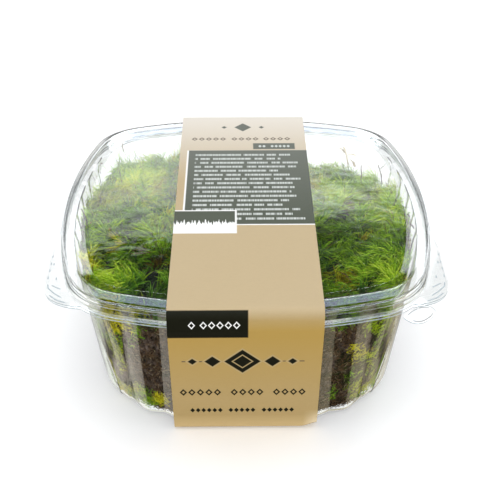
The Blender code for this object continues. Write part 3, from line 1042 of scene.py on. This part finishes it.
# Patches on the wall's front corners, as (degrees from +X, height and radius in mm, kind,
# brightness). The first one that holds a place counts.
WALL_PATCHES = (
    (-46.0, 60, 9, 0.36, 0.70), (-48.0, 34, 8, 0.40, 0.65), (-47.0, 16, 8, 0.42, 0.75),
    (-52.5, 46, 6, 0.62, 0.85), (-134.0, 40, 8, 0.40, 0.70), (-135.0, 18, 8, 0.44, 0.75),
    (-132.5, 62, 9, 0.50, 0.85), (-141.0, 50, 9, 0.28, 0.60), (-132.5, 43, 4, 0.50, 0.55),
    (-142.0, 22, 6, 0.50, 0.80), (-143.5, 10, 6, 0.30, 0.70), (-137.0, 6, 6, 0.48, 0.75),
    (-128.5, 8, 7, 0.30, 0.55), (-120.5, 13, 5, 0.50, 0.75), (-123.0, 72, 6, 0.45, 0.45),
    (-108.0, 74, 6, 0.50, 0.50), (-45.0, 56, 9, 0.30, 0.60), (-40.0, 31, 4, 0.50, 0.55),
    (-40.0, 20, 8, 0.30, 0.65), (-44.0, 14, 4, 0.78, 0.55), (-38.5, 5, 9, 0.30, 0.70),
    (-60.0, 72, 9, 0.28, 0.50),
)
WALL_REACH = 88


def ribbons(stations, start, first, last, length, width, across):
    """Points of curved tapering ribbons that leave their start along first and end along last."""
    rows = []
    for t in stations:
        spine = start + length[:, None] * (first * (t - t * t / 2) + last * (t * t / 2))
        side = unit(np.cross(first * (1 - t) + last * t, across))
        half = side * (width * 0.5 * (1 - t) ** 0.6)[:, None]
        rows += [spine] if t == 1.0 else [spine - half, spine + half]
    return np.stack(rows, axis=1)


def add_growth(mesh, growth):
    """The attribute that colours the moss."""
    layer = mesh.attributes.new("growth", "FLOAT_COLOR", "POINT")
    layer.data.foreach_set("color", np.asarray(growth, np.float32).reshape(-1))


def ribbon_object(name, stations, points, own, kind, material):
    """One mesh of all these ribbons, coloured by how far along they are, brightness and kind."""
    count, per = points.shape[0], points.shape[1]
    steps = []
    for i in range(0, per - 3, 2):
        steps += [(i, i + 1, i + 3), (i, i + 3, i + 2)]
    steps.append((per - 3, per - 2, per - 1))
    triangles = (np.array(steps)[None] + (np.arange(count) * per)[:, None, None]).reshape(-1)
    mesh = bpy.data.meshes.new(name)
    mesh.vertices.add(count * per)
    mesh.vertices.foreach_set("co", points.astype(np.float32).reshape(-1))
    mesh.loops.add(len(triangles))
    mesh.loops.foreach_set("vertex_index", triangles.astype(np.int32))
    mesh.polygons.add(len(triangles) // 3)
    mesh.polygons.foreach_set("loop_start", np.arange(0, len(triangles), 3, dtype=np.int32))
    mesh.update(calc_edges=True)
    growth = np.ones((count, per, 4))
    growth[:, :, 0] = np.repeat(stations, 2)[:per]
    growth[:, :, 1] = own[:, None]
    growth[:, :, 2] = kind[:, None]
    add_growth(mesh, growth)
    new_object(name, mesh, material)


def kept_inside(points, ribbed=True):
    """Moves points in to stay clear of the tub's wall, its ribs' valleys and its rounded foot."""
    x, y, z = points[..., 0], points[..., 1], points[..., 2]
    t = np.clip((z - WALL_FOOT_Z) / (RIB_TOP_Z - WALL_FOOT_Z), 0, 1)
    half, bow, corner = [low + (high - low) * t for low, high in zip(BASE_SQUARE, WALL_TOP_SQUARE)]
    side = (half * half + bow * bow) / (2 * bow)
    drop = side - half
    span = side - corner
    centre = (np.sqrt(2 * span * span - drop * drop) - drop) / 2
    meet = np.arctan2(centre, centre + drop)
    wide = np.maximum(np.abs(x), np.abs(y))
    near = np.minimum(np.abs(x), np.abs(y))
    cornered = (wide > centre) & (np.arctan2(near - centre, wide - centre) > meet)
    from_near = np.where(cornered, near - centre, near)
    from_wide = np.where(cornered, wide - centre, wide + drop)
    apart = np.hypot(from_near, from_wide)
    past_ribs = np.maximum(near - RIB_HALF_SPAN, 0) / RIB_RUN_OUT
    margin = RIB_VALLEY * np.clip(1 - past_ribs, 0, 1) ** 2
    if ribbed:
        away = np.abs(2 * ((near / RIB_PITCH + RIBS_PER_SIDE / 2) % 1.0) - 1)
        margin = np.where(past_ribs > 0, margin, (RIB_CREST + RIB_VALLEY) * away ** 0.8 - RIB_CREST * 0.6)
    foot = np.clip((WALL_FOOT_Z - z) / BASE_ROUND, 0, 1)
    margin = margin + MOSS_WALL_GAP + BASE_ROUND * (1 - np.sqrt(1 - foot * foot))
    limit = np.where(cornered, corner, side) - margin
    push = np.maximum(apart - limit, 0) / apart
    near, wide = near - from_near * push, wide - from_wide * push
    x_wide = np.abs(x) >= np.abs(y)
    points[..., 0] = np.sign(x) * np.where(x_wide, wide, near)
    points[..., 1] = np.sign(y) * np.where(x_wide, near, wide)
    points[..., 2] = np.clip(z, MOSS_FLOOR, MOSS_CEILING)
    return points


def against_wall(points, normals):
    """These side points of the clump moved out along their normals to the wall's inside."""
    return kept_inside(points + normals * 12 * MM, ribbed=False)


class MossForm:
    """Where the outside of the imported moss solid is."""

    def __init__(self, node):
        self.mesh = node.data
        points = [vertex.co.copy() for vertex in self.mesh.vertices]
        self.tree = BVHTree.FromPolygons(points, [tuple(p.vertices) for p in self.mesh.polygons])

    def top(self, x, y):
        """The top's place and normal over (x, y), or None outside the clump."""
        place, normal, _, _ = self.tree.ray_cast(Vector((x, y, 0.2)), -UP)
        if place is None or place.z < 40 * MM:
            return None
        return np.array(place), np.array(normal if normal.z > 0 else -normal)

    def wall(self, angle, height):
        """The side's place and normal at this angle from +X and height, or None above it."""
        away = Vector((math.cos(angle), math.sin(angle), 0))
        place, normal, _, _ = self.tree.ray_cast(away * 0.2 + UP * height, -away)
        if place is None or place.dot(away) < 50 * MM:
            return None
        return np.array(place), np.array(normal if normal.dot(away) > 0 else -normal)


def moss_core(form):
    """The clump's dark heart, just under the leaves all over."""
    mesh = bmesh.new()
    mesh.from_mesh(form.mesh)
    bmesh.ops.remove_doubles(mesh, verts=mesh.verts, dist=0.02 * MM)
    bmesh.ops.subdivide_edges(mesh, edges=mesh.edges, cuts=2, use_grid_fill=True)
    mesh.normal_update()
    points = np.array([vertex.co for vertex in mesh.verts])
    normals = np.array([vertex.normal for vertex in mesh.verts])
    at_wall = against_wall(points, normals)
    side = 1 - smooth_step(np.abs(normals[:, 2]), 0.25, 0.7)
    side *= 1 - smooth_step(points[:, 2], 56 * MM, 66 * MM)
    up = smooth_step(normals[:, 2], 0.2, 0.8)
    back = smooth_step(points[:, 1], 20 * MM, 45 * MM)
    for i, vertex in enumerate(mesh.verts):
        lump = noise.fractal(Vector(points[i]) * 110, 0.6, 2.0, 4)
        to_wall = (at_wall[i] - points[i]) * side[i]
        inwards = normals[i] * (HEART_INWARDS + HEART_SIDE_LUMP * lump) * MM * (1 - up[i])
        sink = (HEART_SINK - HEART_TOP_LUMP * lump + HEART_BACK_SINK * back[i]) * MM * up[i]
        vertex.co = Vector(points[i] + to_wall - inwards) - UP * sink
    data = bpy.data.meshes.new("moss_heart")
    mesh.to_mesh(data)
    mesh.free()
    data.shade_smooth()
    core = new_object("moss_heart", data, moss_thatch())
    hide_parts("moss_clump")


def moss_tufts(rng):
    """Tufts of one sweep each, as rows of x, y, sweep direction, brightness and hue."""
    rows = []
    for row in range(-5, 6):
        for column in range(-5, 6):
            x = (column + 0.5 * (row % 2) + rng.uniform(-0.32, 0.32)) * TUFT_PITCH
            y = (row + rng.uniform(-0.32, 0.32)) * TUFT_PITCH * 0.87
            sweep = rng.uniform(0, 2 * math.pi)
            rows.append((x, y, sweep, rng.uniform(0, 1), rng.uniform(0, 1)))
    return np.array(rows)


def fan_grid(form, rng):
    """Places and normals on the clump's top where fans end, thinner under the band."""
    found = []
    count = int(92 * MM / FAN_PITCH) + 1
    for row in range(-count, count + 1):
        for column in range(-count, count + 1):
            x = (column + 0.5 * (row % 2) + rng.uniform(-0.35, 0.35)) * FAN_PITCH
            y = (row + rng.uniform(-0.35, 0.35)) * FAN_PITCH * 0.87
            skipped = rng.uniform() < 0.6
            if skipped and abs(x - BAND_CENTRE_X) < UNDER_BAND:
                continue
            top = form.top(x, y)
            if top is not None:
                found.append(np.concatenate(top))
    found = np.array(found)
    return found[:, :3], found[:, 3:]


def level(angles):
    """Flat directions at these angles from +X."""
    return np.stack([np.cos(angles), np.sin(angles), np.zeros(len(angles))], axis=1)


def fan_looks(place, near, reach, back, rng):
    """Each fan's brightness, with painted shade in the valleys and hollows, its kind, and how far it sinks,
    in mm.
    """
    count = len(place)
    bright = FAN_BRIGHT + FAN_CHANCE * rng.uniform(0, 1, count)
    bright = bright + TUFT_CHANCE * near[:, 3] + BACK_BRIGHT * back
    bright += back * BACK_CONTRAST * (near[:, 3] - 0.5)
    # Painted shade: fans out towards the valleys between the tufts are darkened.
    bright *= 1 - PAINTED_VALLEY_SHADE * (1 - 0.4 * back) * smooth_step(reach, 0.28, 0.60)
    kind = 0.03 + 0.14 * near[:, 4] + rng.uniform(0, 0.11, count) + 0.21 * back
    chance = rng.uniform(0, 1, count)
    kind = np.where(chance < YELLOW_FANS, YELLOW, np.where(chance > 1 - BROWN_FANS, BROWN, kind))
    sink = np.zeros(count)
    # An accent's negative brightness, on sunk fans, is painted shade in their hollow.
    for x, y, size, added, depth, own_kind in FAN_ACCENTS:
        away = np.hypot(place[:, 0] - x * MM, place[:, 1] - y * MM) / (size * MM)
        share = 1 - smooth_step(away, 0.6, 1.2)
        bright += added * share
        sink += depth * share
        kind += (own_kind - kind) * share
    return bright, kind, sink


def build_top_moss(form, material):
    """Fans of fine strands in swept tufts over the clump's top, in left, middle and right pieces."""
    rng = np.random.default_rng(TOP_SEED)
    tufts = moss_tufts(rng)
    place, normal = fan_grid(form, rng)
    count = len(place)
    apart = np.linalg.norm(place[:, None, :2] - tufts[None, :, :2], axis=2)
    near = tufts[np.argmin(apart, axis=1)]
    out = np.zeros_like(place)
    out[:, :2] = (place[:, :2] - near[:, :2]) / TUFT_PITCH
    reach = np.linalg.norm(out[:, :2], axis=1)
    sweep = level(near[:, 2] + rng.normal(0, 1.0, count))
    back = smooth_step(place[:, 1], -35 * MM, 20 * MM)
    bright, fan_kind, sink = fan_looks(place, near, reach, back, rng)

    up = np.array(UP)
    lean = unit(0.8 * normal + 0.8 * out + 0.5 * sweep + rng.normal(0, 0.25, place.shape))
    drop = (rng.uniform(0, CHANCE_DROP, count) + VALLEY_DROP * (1 - 0.4 * back) * reach ** 2 + sink) * MM
    root = place - lean * rng.uniform(*ROOT_DEPTH, (count, 1)) * MM - up * drop[:, None]

    per = FAN_STRANDS
    total = count * per
    pick = np.repeat(np.arange(count), per)
    axis = lean[pick]
    side = unit(np.cross(axis, sweep[pick]))
    around = rng.uniform(0, 2 * math.pi, (total, 1))
    wide = np.sqrt(rng.uniform(0, 1, (total, 1)))
    away = (side * np.cos(around) + np.cross(axis, side) * np.sin(around)) * wide
    start = root[pick] + away * ROOT_REACH * MM + axis * rng.uniform(0, ROOT_SPREAD, (total, 1)) * MM
    first = unit(axis + away * 1.15 + rng.normal(0, 0.10, (total, 3)))
    last = unit(first * 0.35 + sweep[pick] * 0.9 + away * 0.55 + rng.normal(0, 0.25, (total, 3))
                - up * rng.uniform(0.2, 1.1, (total, 1)))
    length = rng.uniform(*STRAND_LENGTH, total)
    width = rng.uniform(*STRAND_WIDTH, total)
    calm = back[pick] * 0.35
    own = bright[pick] * (0.36 + calm + (1.1 - calm) * rng.uniform(0, 1, total) ** 1.6)
    kind = np.where(rng.uniform(0, 1, total) < 0.01, BROWN, fan_kind[pick])

    # Loose strands that stand up out of the clump, most of them at the back.
    loose = rng.integers(0, count, LOOSE_STRANDS * 3)
    loose = loose[rng.uniform(0, 1, len(loose)) < 0.15 + 0.85 * back[loose]][:LOOSE_STRANDS]
    more = len(loose)
    tall = unit(up + rng.normal(0, 0.35, (more, 3)))
    start = np.concatenate([start, place[loose] + rng.normal(0, 2.5, (more, 3)) * MM - up * 6 * MM])
    first = np.concatenate([first, tall])
    last = np.concatenate([last, unit(tall + level(rng.uniform(0, 2 * math.pi, more)) * 0.7)])
    length = np.concatenate([length, rng.uniform(*LOOSE_LENGTH, more)])
    width = np.concatenate([width, rng.uniform(*LOOSE_WIDTH, more)])
    own = np.concatenate([own, rng.uniform(0.35, 0.95, more)])
    kind = np.concatenate([kind, rng.choice((0.2, 0.28, LIME, DEAD), more)])

    across = unit(rng.normal(0, 1, start.shape))
    points = kept_inside(ribbons(STRAND_STATIONS, start, first, last, length, width, across))
    own = np.clip(own, 0, 1)
    x = start[:, 0] - BAND_CENTRE_X
    parts = {"moss_left": x < -UNDER_BAND, "moss_middle": abs(x) <= UNDER_BAND, "moss_right": x > UNDER_BAND}
    for name, part in parts.items():
        ribbon_object(name, STRAND_STATIONS, points[part], own[part], kind[part], material)


def wall_growth(angle, height, place, rng):
    """The kind and the brightness of what lies against the wall here."""
    for patch_angle, patch_height, radius, kind, bright in WALL_PATCHES:
        across = math.radians(angle - patch_angle) * WALL_REACH
        wobble = 1 + 0.5 * noise.noise(place * 260)
        if math.hypot(across, height / MM - patch_height) < radius * wobble:
            return kind, bright + rng.uniform(-0.15, 0.15)
    x, y, _ = place
    corner = min(abs(x), abs(y)) / max(abs(x), abs(y), 1e-6)
    if noise.noise(place * 45) + 2.2 * (corner - 0.74) > 0.0:
        if noise.noise(place * 90 + Vector((7, 0, 0))) > 0.25:
            return YELLOW, rng.uniform(0.4, 0.9)
        return rng.uniform(0.1, LIME), rng.uniform(0.3, 0.8)
    if rng.uniform() < 0.10:
        return DEAD, -0.4
    return DEAD, 0.25 + rng.uniform(0.0, 0.45)


def wall_places(form, count, rng):
    """Places and normals on the clump's sides, with the kind and the brightness of each."""
    found = []
    while len(found) < count:
        angle = rng.uniform(-180, 180)
        height = (rng.uniform(2.5, 80) if rng.uniform() < 0.88 else rng.uniform(2.0, 7.0)) * MM
        spot = form.wall(math.radians(angle), height)
        if spot is None or (abs(spot[0][0]) < 28 * MM and rng.uniform() < 0.85):
            continue
        place, normal = spot
        if place[1] > 0 and (rng.uniform() < 0.5 or height > 60 * MM):
            continue
        if normal[2] > 0.4:
            continue
        found.append((*place, *normal, *wall_growth(angle, height, Vector(place), rng)))
    found = np.array(found)
    return found[:, :3], unit(found[:, 3:6]), found[:, 6], found[:, 7]


def build_wall_moss(form, material):
    """Short matted leaves and old stems that lie against the tub's wall."""
    rng = np.random.default_rng(WALL_SEED)
    count = WALL_TUFTS
    places, normals, kinds, brights = wall_places(form, count, rng)
    total = count * WALL_TUFT_LEAVES
    pick = np.repeat(np.arange(count), WALL_TUFT_LEAVES)
    normal = normals[pick]
    sideways = unit(np.cross(np.array(UP), normal))
    upward = np.cross(normal, sideways)

    def along_wall(angles):
        return upward * np.cos(angles)[:, None] + sideways * np.sin(angles)[:, None]

    kind = kinds[pick]
    heading = rng.uniform(-1.3, 1.3, count)[pick] + rng.normal(0, 0.7, total)
    heading *= np.where(kind > 0.7, 2.4, 1.0)
    along = along_wall(heading)
    bent = along_wall(heading + rng.normal(0, 0.9, total))
    length = rng.uniform(*LEAF_LENGTH, total)
    scatter = rng.normal(0, 1.2 * MM, (2, total, 1))
    spot = against_wall(places, normals)[pick] + upward * scatter[0] + sideways * scatter[1]
    start = spot - along * length[:, None] * 0.4 - normal * rng.uniform(0.2, 2.4, (total, 1)) * MM
    first = unit(along + normal * 0.15)
    last = unit(bent - normal * 0.05)
    width = rng.uniform(*LEAF_WIDTH, total)
    across = unit(normal + rng.normal(0, 0.5, (total, 3)))
    points = kept_inside(ribbons(LEAF_STATIONS, start, first, last, length, width, across))
    own = np.clip(brights[pick] + rng.normal(0, 0.22, total), 0, 1)
    back = places[pick, 1] > 0
    left = places[pick, 0] < 0
    parts = (("moss_left_wall", left & ~back), ("moss_right_wall", ~left & ~back), ("moss_back_wall", back))
    for name, part in parts:
        ribbon_object(name, LEAF_STATIONS, points[part], own[part], kind[part], material)


# Dead twigs, stems and leaf bits, as (points in mm, radius in mm, kind, brightness). The wide
# ones are leaf bits, and flat.
TWIGS = (
    (((-86.0, 53.0, 82.2), (-84.0, 48.5, 80.6), (-82.6, 45.0, 78.6), (-82.0, 43.0, 76.0)), 0.42, 0.90, 0.42),
    (((-84.5, 47.0, 79.8), (-82.0, 46.5, 80.6), (-80.5, 47.5, 81.0)), 0.25, 0.90, 0.42),
    (((-71.8, 69.5, 82.2), (-71.4, 67.5, 80.6), (-70.6, 65.5, 77.5)), 0.30, 0.90, 0.50),
    (((-87.1, -1.2, 81.0), (-85.1, -5.6, 80.0), (-83.3, -9.3, 78.0), (-82.6, -12.0, 75.5)), 0.42, 0.90, 0.10),
    (((57.2, 63.6, 82.2), (58.2, 60.0, 81.0), (59.0, 56.4, 79.5), (59.5, 50.7, 75.5)), 0.60, 0.90, 1.00),
    (((59.0, 57.0, 79.8), (62.0, 56.5, 80.8), (64.5, 55.2, 80.4)), 1.60, 0.88, 1.05),
    (((58.6, 58.0, 80.0), (57.0, 61.5, 80.9), (55.0, 63.5, 81.2)), 1.30, 0.88, 1.00),
    (((60.2, 54.0, 79.0), (62.5, 51.5, 78.2), (63.0, 49.0, 76.6)), 1.20, 0.88, 0.95),
    (((75.5, 44.1, 81.2), (76.6, 39.0, 78.6), (77.1, 33.7, 74.0)), 0.36, 0.90, 0.35),
    (((76.2, 41.0, 79.6), (78.0, 41.5, 81.2), (79.5, 43.0, 81.8)), 0.24, 0.90, 0.35),
    (((66.1, 45.9, 80.5), (65.8, 40.0, 77.8), (65.2, 33.8, 74.0)), 0.34, 0.90, 0.40),
    (((92.5, 36.1, 81.2), (89.3, 32.3, 80.0), (87.5, 30.2, 78.0), (86.0, 28.0, 74.0)), 0.45, 0.45, 0.30),
    (((85.6, -4.0, 78.5), (86.4, -7.0, 78.8), (88.3, -10.9, 78.0)), 0.50, 0.90, 0.02),
    (((86.0, -12.0, 77.5), (87.0, -15.0, 78.0), (88.0, -16.5, 77.0)), 0.38, 0.90, 0.02),
    (((-46.0, -40.0, 79.6), (-52.0, -42.5, 80.4), (-58.0, -42.0, 79.8)), 0.22, 0.90, 0.50),
    (((44.0, -56.0, 78.6), (48.0, -60.0, 79.4), (50.5, -65.0, 78.4)), 0.24, 0.90, 0.45),
    (((40.0, -28.0, 80.0), (45.0, -24.0, 80.8), (51.0, -23.0, 80.4)), 0.20, 0.90, 0.50),
    (((-70.2, -21.4, 80.4), (-69.9, -21.0, 81.2), (-69.4, -20.4, 80.6)), 0.60, 0.72, 0.55),
    (((-80.9, -14.0, 79.4), (-80.6, -13.7, 80.2), (-80.2, -13.2, 79.6)), 0.55, 0.72, 0.55),
)
WIDE_TWIG = 1.0
TWIG_UPRIGHT = Vector((0.3, 0.2, 1.0))
TWIG_CROOK = 0.35 * MM
TWIG_SEED = 5


def build_litter(material):
    """The twigs and leaf bits, crooked the same way each run: unseeded, the noise uses the clock."""
    noise.seed_set(TWIG_SEED)
    points, faces, growth = [], [], []
    for path, radius, kind, bright in TWIGS:
        path = [Vector(p) * MM for p in path]
        steps = [path[0].lerp(path[1], 0.02)]
        steps += [a.lerp(b, share) for a, b in zip(path, path[1:]) for share in (0.25, 0.5, 0.75, 1.0)]
        flat = 0.2 if radius > WIDE_TWIG else 1.0
        known = len(points)
        add_rings(points, faces, tube_rings(steps, TWIG_UPRIGHT, radius * MM, 0.25, 6, flat, TWIG_CROOK))
        growth += [(0.5 + 0.5 * noise.noise(p * 800), bright, kind, 1.0) for p in points[known:]]
    mesh = new_mesh("litter", kept_inside(np.array(points)), faces)
    mesh.shade_smooth()
    add_growth(mesh, growth)
    new_object("litter", mesh, material)


# Studio --------------------------------------------------------------------------------------


def build_floor():
    reach = 20.0
    corners = [(-reach, -reach, 0), (reach, -reach, 0), (reach, reach, 0), (-reach, reach, 0)]
    mesh = new_mesh("floor", corners, [(0, 1, 2, 3)])
    mesh.materials.append(floor_white())
    floor = bpy.data.objects.new("floor", mesh)
    floor.location.z = -0.1 * MM
    bpy.context.scene.collection.objects.link(floor)
    floor.visible_glossy = False
    floor.visible_transmission = False


def build_softbox(name, place, aim_z, size, radiance):
    """A rectangular light of the given radiance."""
    light = bpy.data.lights.new(name, "AREA")
    light.shape = "RECTANGLE"
    light.size, light.size_y = size
    light.energy = radiance * math.pi * size[0] * size[1]
    obj = bpy.data.objects.new(name, light)
    obj.location = place
    obj.rotation_euler = (UP * aim_z - Vector(place)).to_track_quat("-Z", "Y").to_euler()
    obj.visible_camera = False
    obj.visible_glossy = False
    bpy.context.scene.collection.objects.link(obj)


def build_world():
    """A light tent: white behind up to a soft edge, bright low sides and a dim front.

    Only the clear sheets mirror it and show it through. Other surfaces see a plain ambient.
    """
    world = bpy.data.worlds.new("tent")
    bpy.context.scene.world = world
    tree = Tree(world)
    x, y, z = tree.split(tree.wire("TexCoord", "Generated"))
    behind = y.step(0.0, 0.2)

    # The white backdrop, up to an edge that rises at the far left and the far right.
    right = x.step(0.02, 0.09)
    leftward = (x * -1.0 - 0.08).math("MAXIMUM", 0.0)
    rightward = (x - 0.14).math("MAXIMUM", 0.0)
    edge = leftward * leftward * 2.84 + rightward * rightward * 20.0 + BACKDROP_EDGE
    under_edge = (z - edge).math("DIVIDE", right * 0.022 + 0.004).step(-1.0, 1.0, 1.0, 0.0)
    white = z.step(right * -0.030 + 0.505, right * -0.012 + 0.56,
                   right * 0.8 + BACKDROP_LOW, right * -0.48 + BACKDROP_HIGH)
    tent = behind * under_edge * white * z.step(0.34, 0.42)

    # What stands behind the clear sheets: white, and half of it where a sheet mirrors its foot.
    seen = y.step(0.35, 0.60) * abs(x).step(0.28, 0.42, 1.0, 0.0)
    level_zone = z.step(-0.58, -0.44)
    mirrored_low = tree.wire("LightPath", "Is Reflection Ray") * (1.0 - level_zone)
    below = z.step(-0.30, -0.10, 1.0, 0.0) * z.step(-0.92, -0.80, UNDER_ALL, SEEN_THROUGH)
    tent += seen * below * (mirrored_low * -0.5 + 1.0)

    # A bright strip lamp above the dark gap, and a wide soft light over all.
    strip = z.step(0.675, 0.695) * z.step(0.80, 0.86, STRIP_LAMP, 0.0)
    strip *= x.step(-0.34, -0.22) * x.step(0.38, 0.42, 1.0, 0.0)
    tent += strip * behind + z.step(0.72, 0.78, 0.0, OVERHEAD) * y.step(-0.75, -0.60)

    # Bright cards to the left and right of the camera, low down, the right one dimmer.
    azimuth = abs(x).math("ARCTAN2", y * -1.0)
    far_side = azimuth.step(*FAR_SIDE)
    cards = azimuth.step(*CARD_NEAR, 0.0, SIDE_CARD) * azimuth.step(*CARD_FAR, 1.0, BEYOND_CARD)
    cards += far_side * FAR_CARD
    cards += (azimuth.step(*CARD_NEAR, 0.0, LEVEL_CARD) - cards) * level_zone
    dimmed = x.step(0.0, 0.1) * (1.0 - level_zone)
    cards *= (dimmed * -RIGHT_DIMMED + 1.0) * z.step(-0.05, 0.10, 1.0, 0.2)
    above = behind * z.step(0.0, 0.1)
    tent += cards * (1.0 - seen.math("MAXIMUM", above))

    # A window over the camera's low side, for the lips.
    window = z.step(0.10, 0.20, 0.0, FRONT_WINDOW) * z.step(0.45, 0.55, 1.0, 0.0)
    tent += window * azimuth.step(*WINDOW_SIDE, 1.0, 0.0) * (1.0 - behind) + DIM_REST

    ambient = z.step(-0.3, 1.0, AMBIENT_LOW, AMBIENT_HIGH)
    scattered = tree.wire("LightPath", "Diffuse Depth") + tree.wire("LightPath", "Is Diffuse Ray")
    scattered = scattered.math("MINIMUM", 1.0).math("MAXIMUM", tree.wire("LightPath", "Is Shadow Ray"))
    tint = level_zone.mixed(FAR_TINT, MIRRORED_TINT)
    tint = (1.0 - level_zone.math("MAXIMUM", far_side)).mixed(tint, CARD_TINT)
    tint = dimmed.mixed(tint, RIGHT_TINT)
    tint = z.step(0.80, 0.90).mixed(tint, OVERHEAD_TINT)
    plain = scattered.math("MAXIMUM", seen * z.step(-0.10, 0.10, 1.0, 0.0))
    tree.fill(tree.nodes["Background"], {
        "Strength": (ambient - tent) * scattered + tent,
        "Color": plain.mixed(tint, (1.0, 1.0, 1.0)),
    })


def build_camera():
    camera = bpy.data.cameras.new("camera")
    camera.lens = CAMERA_LENS
    camera.sensor_width = 36.0
    camera.clip_start = 0.01
    obj = bpy.data.objects.new("camera", camera)
    forward = Vector((
        math.sin(CAMERA_YAW) * math.cos(CAMERA_PITCH),
        math.cos(CAMERA_YAW) * math.cos(CAMERA_PITCH),
        -math.sin(CAMERA_PITCH),
    ))
    sideways = Vector((math.cos(CAMERA_YAW), -math.sin(CAMERA_YAW), 0))
    right = sideways * math.cos(CAMERA_ROLL) + sideways.cross(forward) * math.sin(CAMERA_ROLL)
    turn = Matrix((right, right.cross(forward), -forward)).transposed().to_4x4()
    obj.matrix_world = Matrix.Translation(CAMERA_PLACE) @ turn
    bpy.context.scene.collection.objects.link(obj)
    bpy.context.scene.camera = obj


def build_scene():
    bpy.context.scene.view_settings.view_transform = "Standard"
    build_camera()
    build_floor()
    for softbox in SOFTBOXES:
        build_softbox(*softbox)
    build_world()
    edge = cut_edge_painted_light()
    build_tub(edge)
    build_lid(edge)
    build_grips(edge)
    build_buttons()
    build_lower_tab(edge)
    build_band()
    form = MossForm(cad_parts["moss_clump"])
    leaf = moss_leaf()
    moss_core(form)
    build_top_moss(form, leaf)
    build_wall_moss(form, leaf)
    build_litter(leaf)


build_scene()
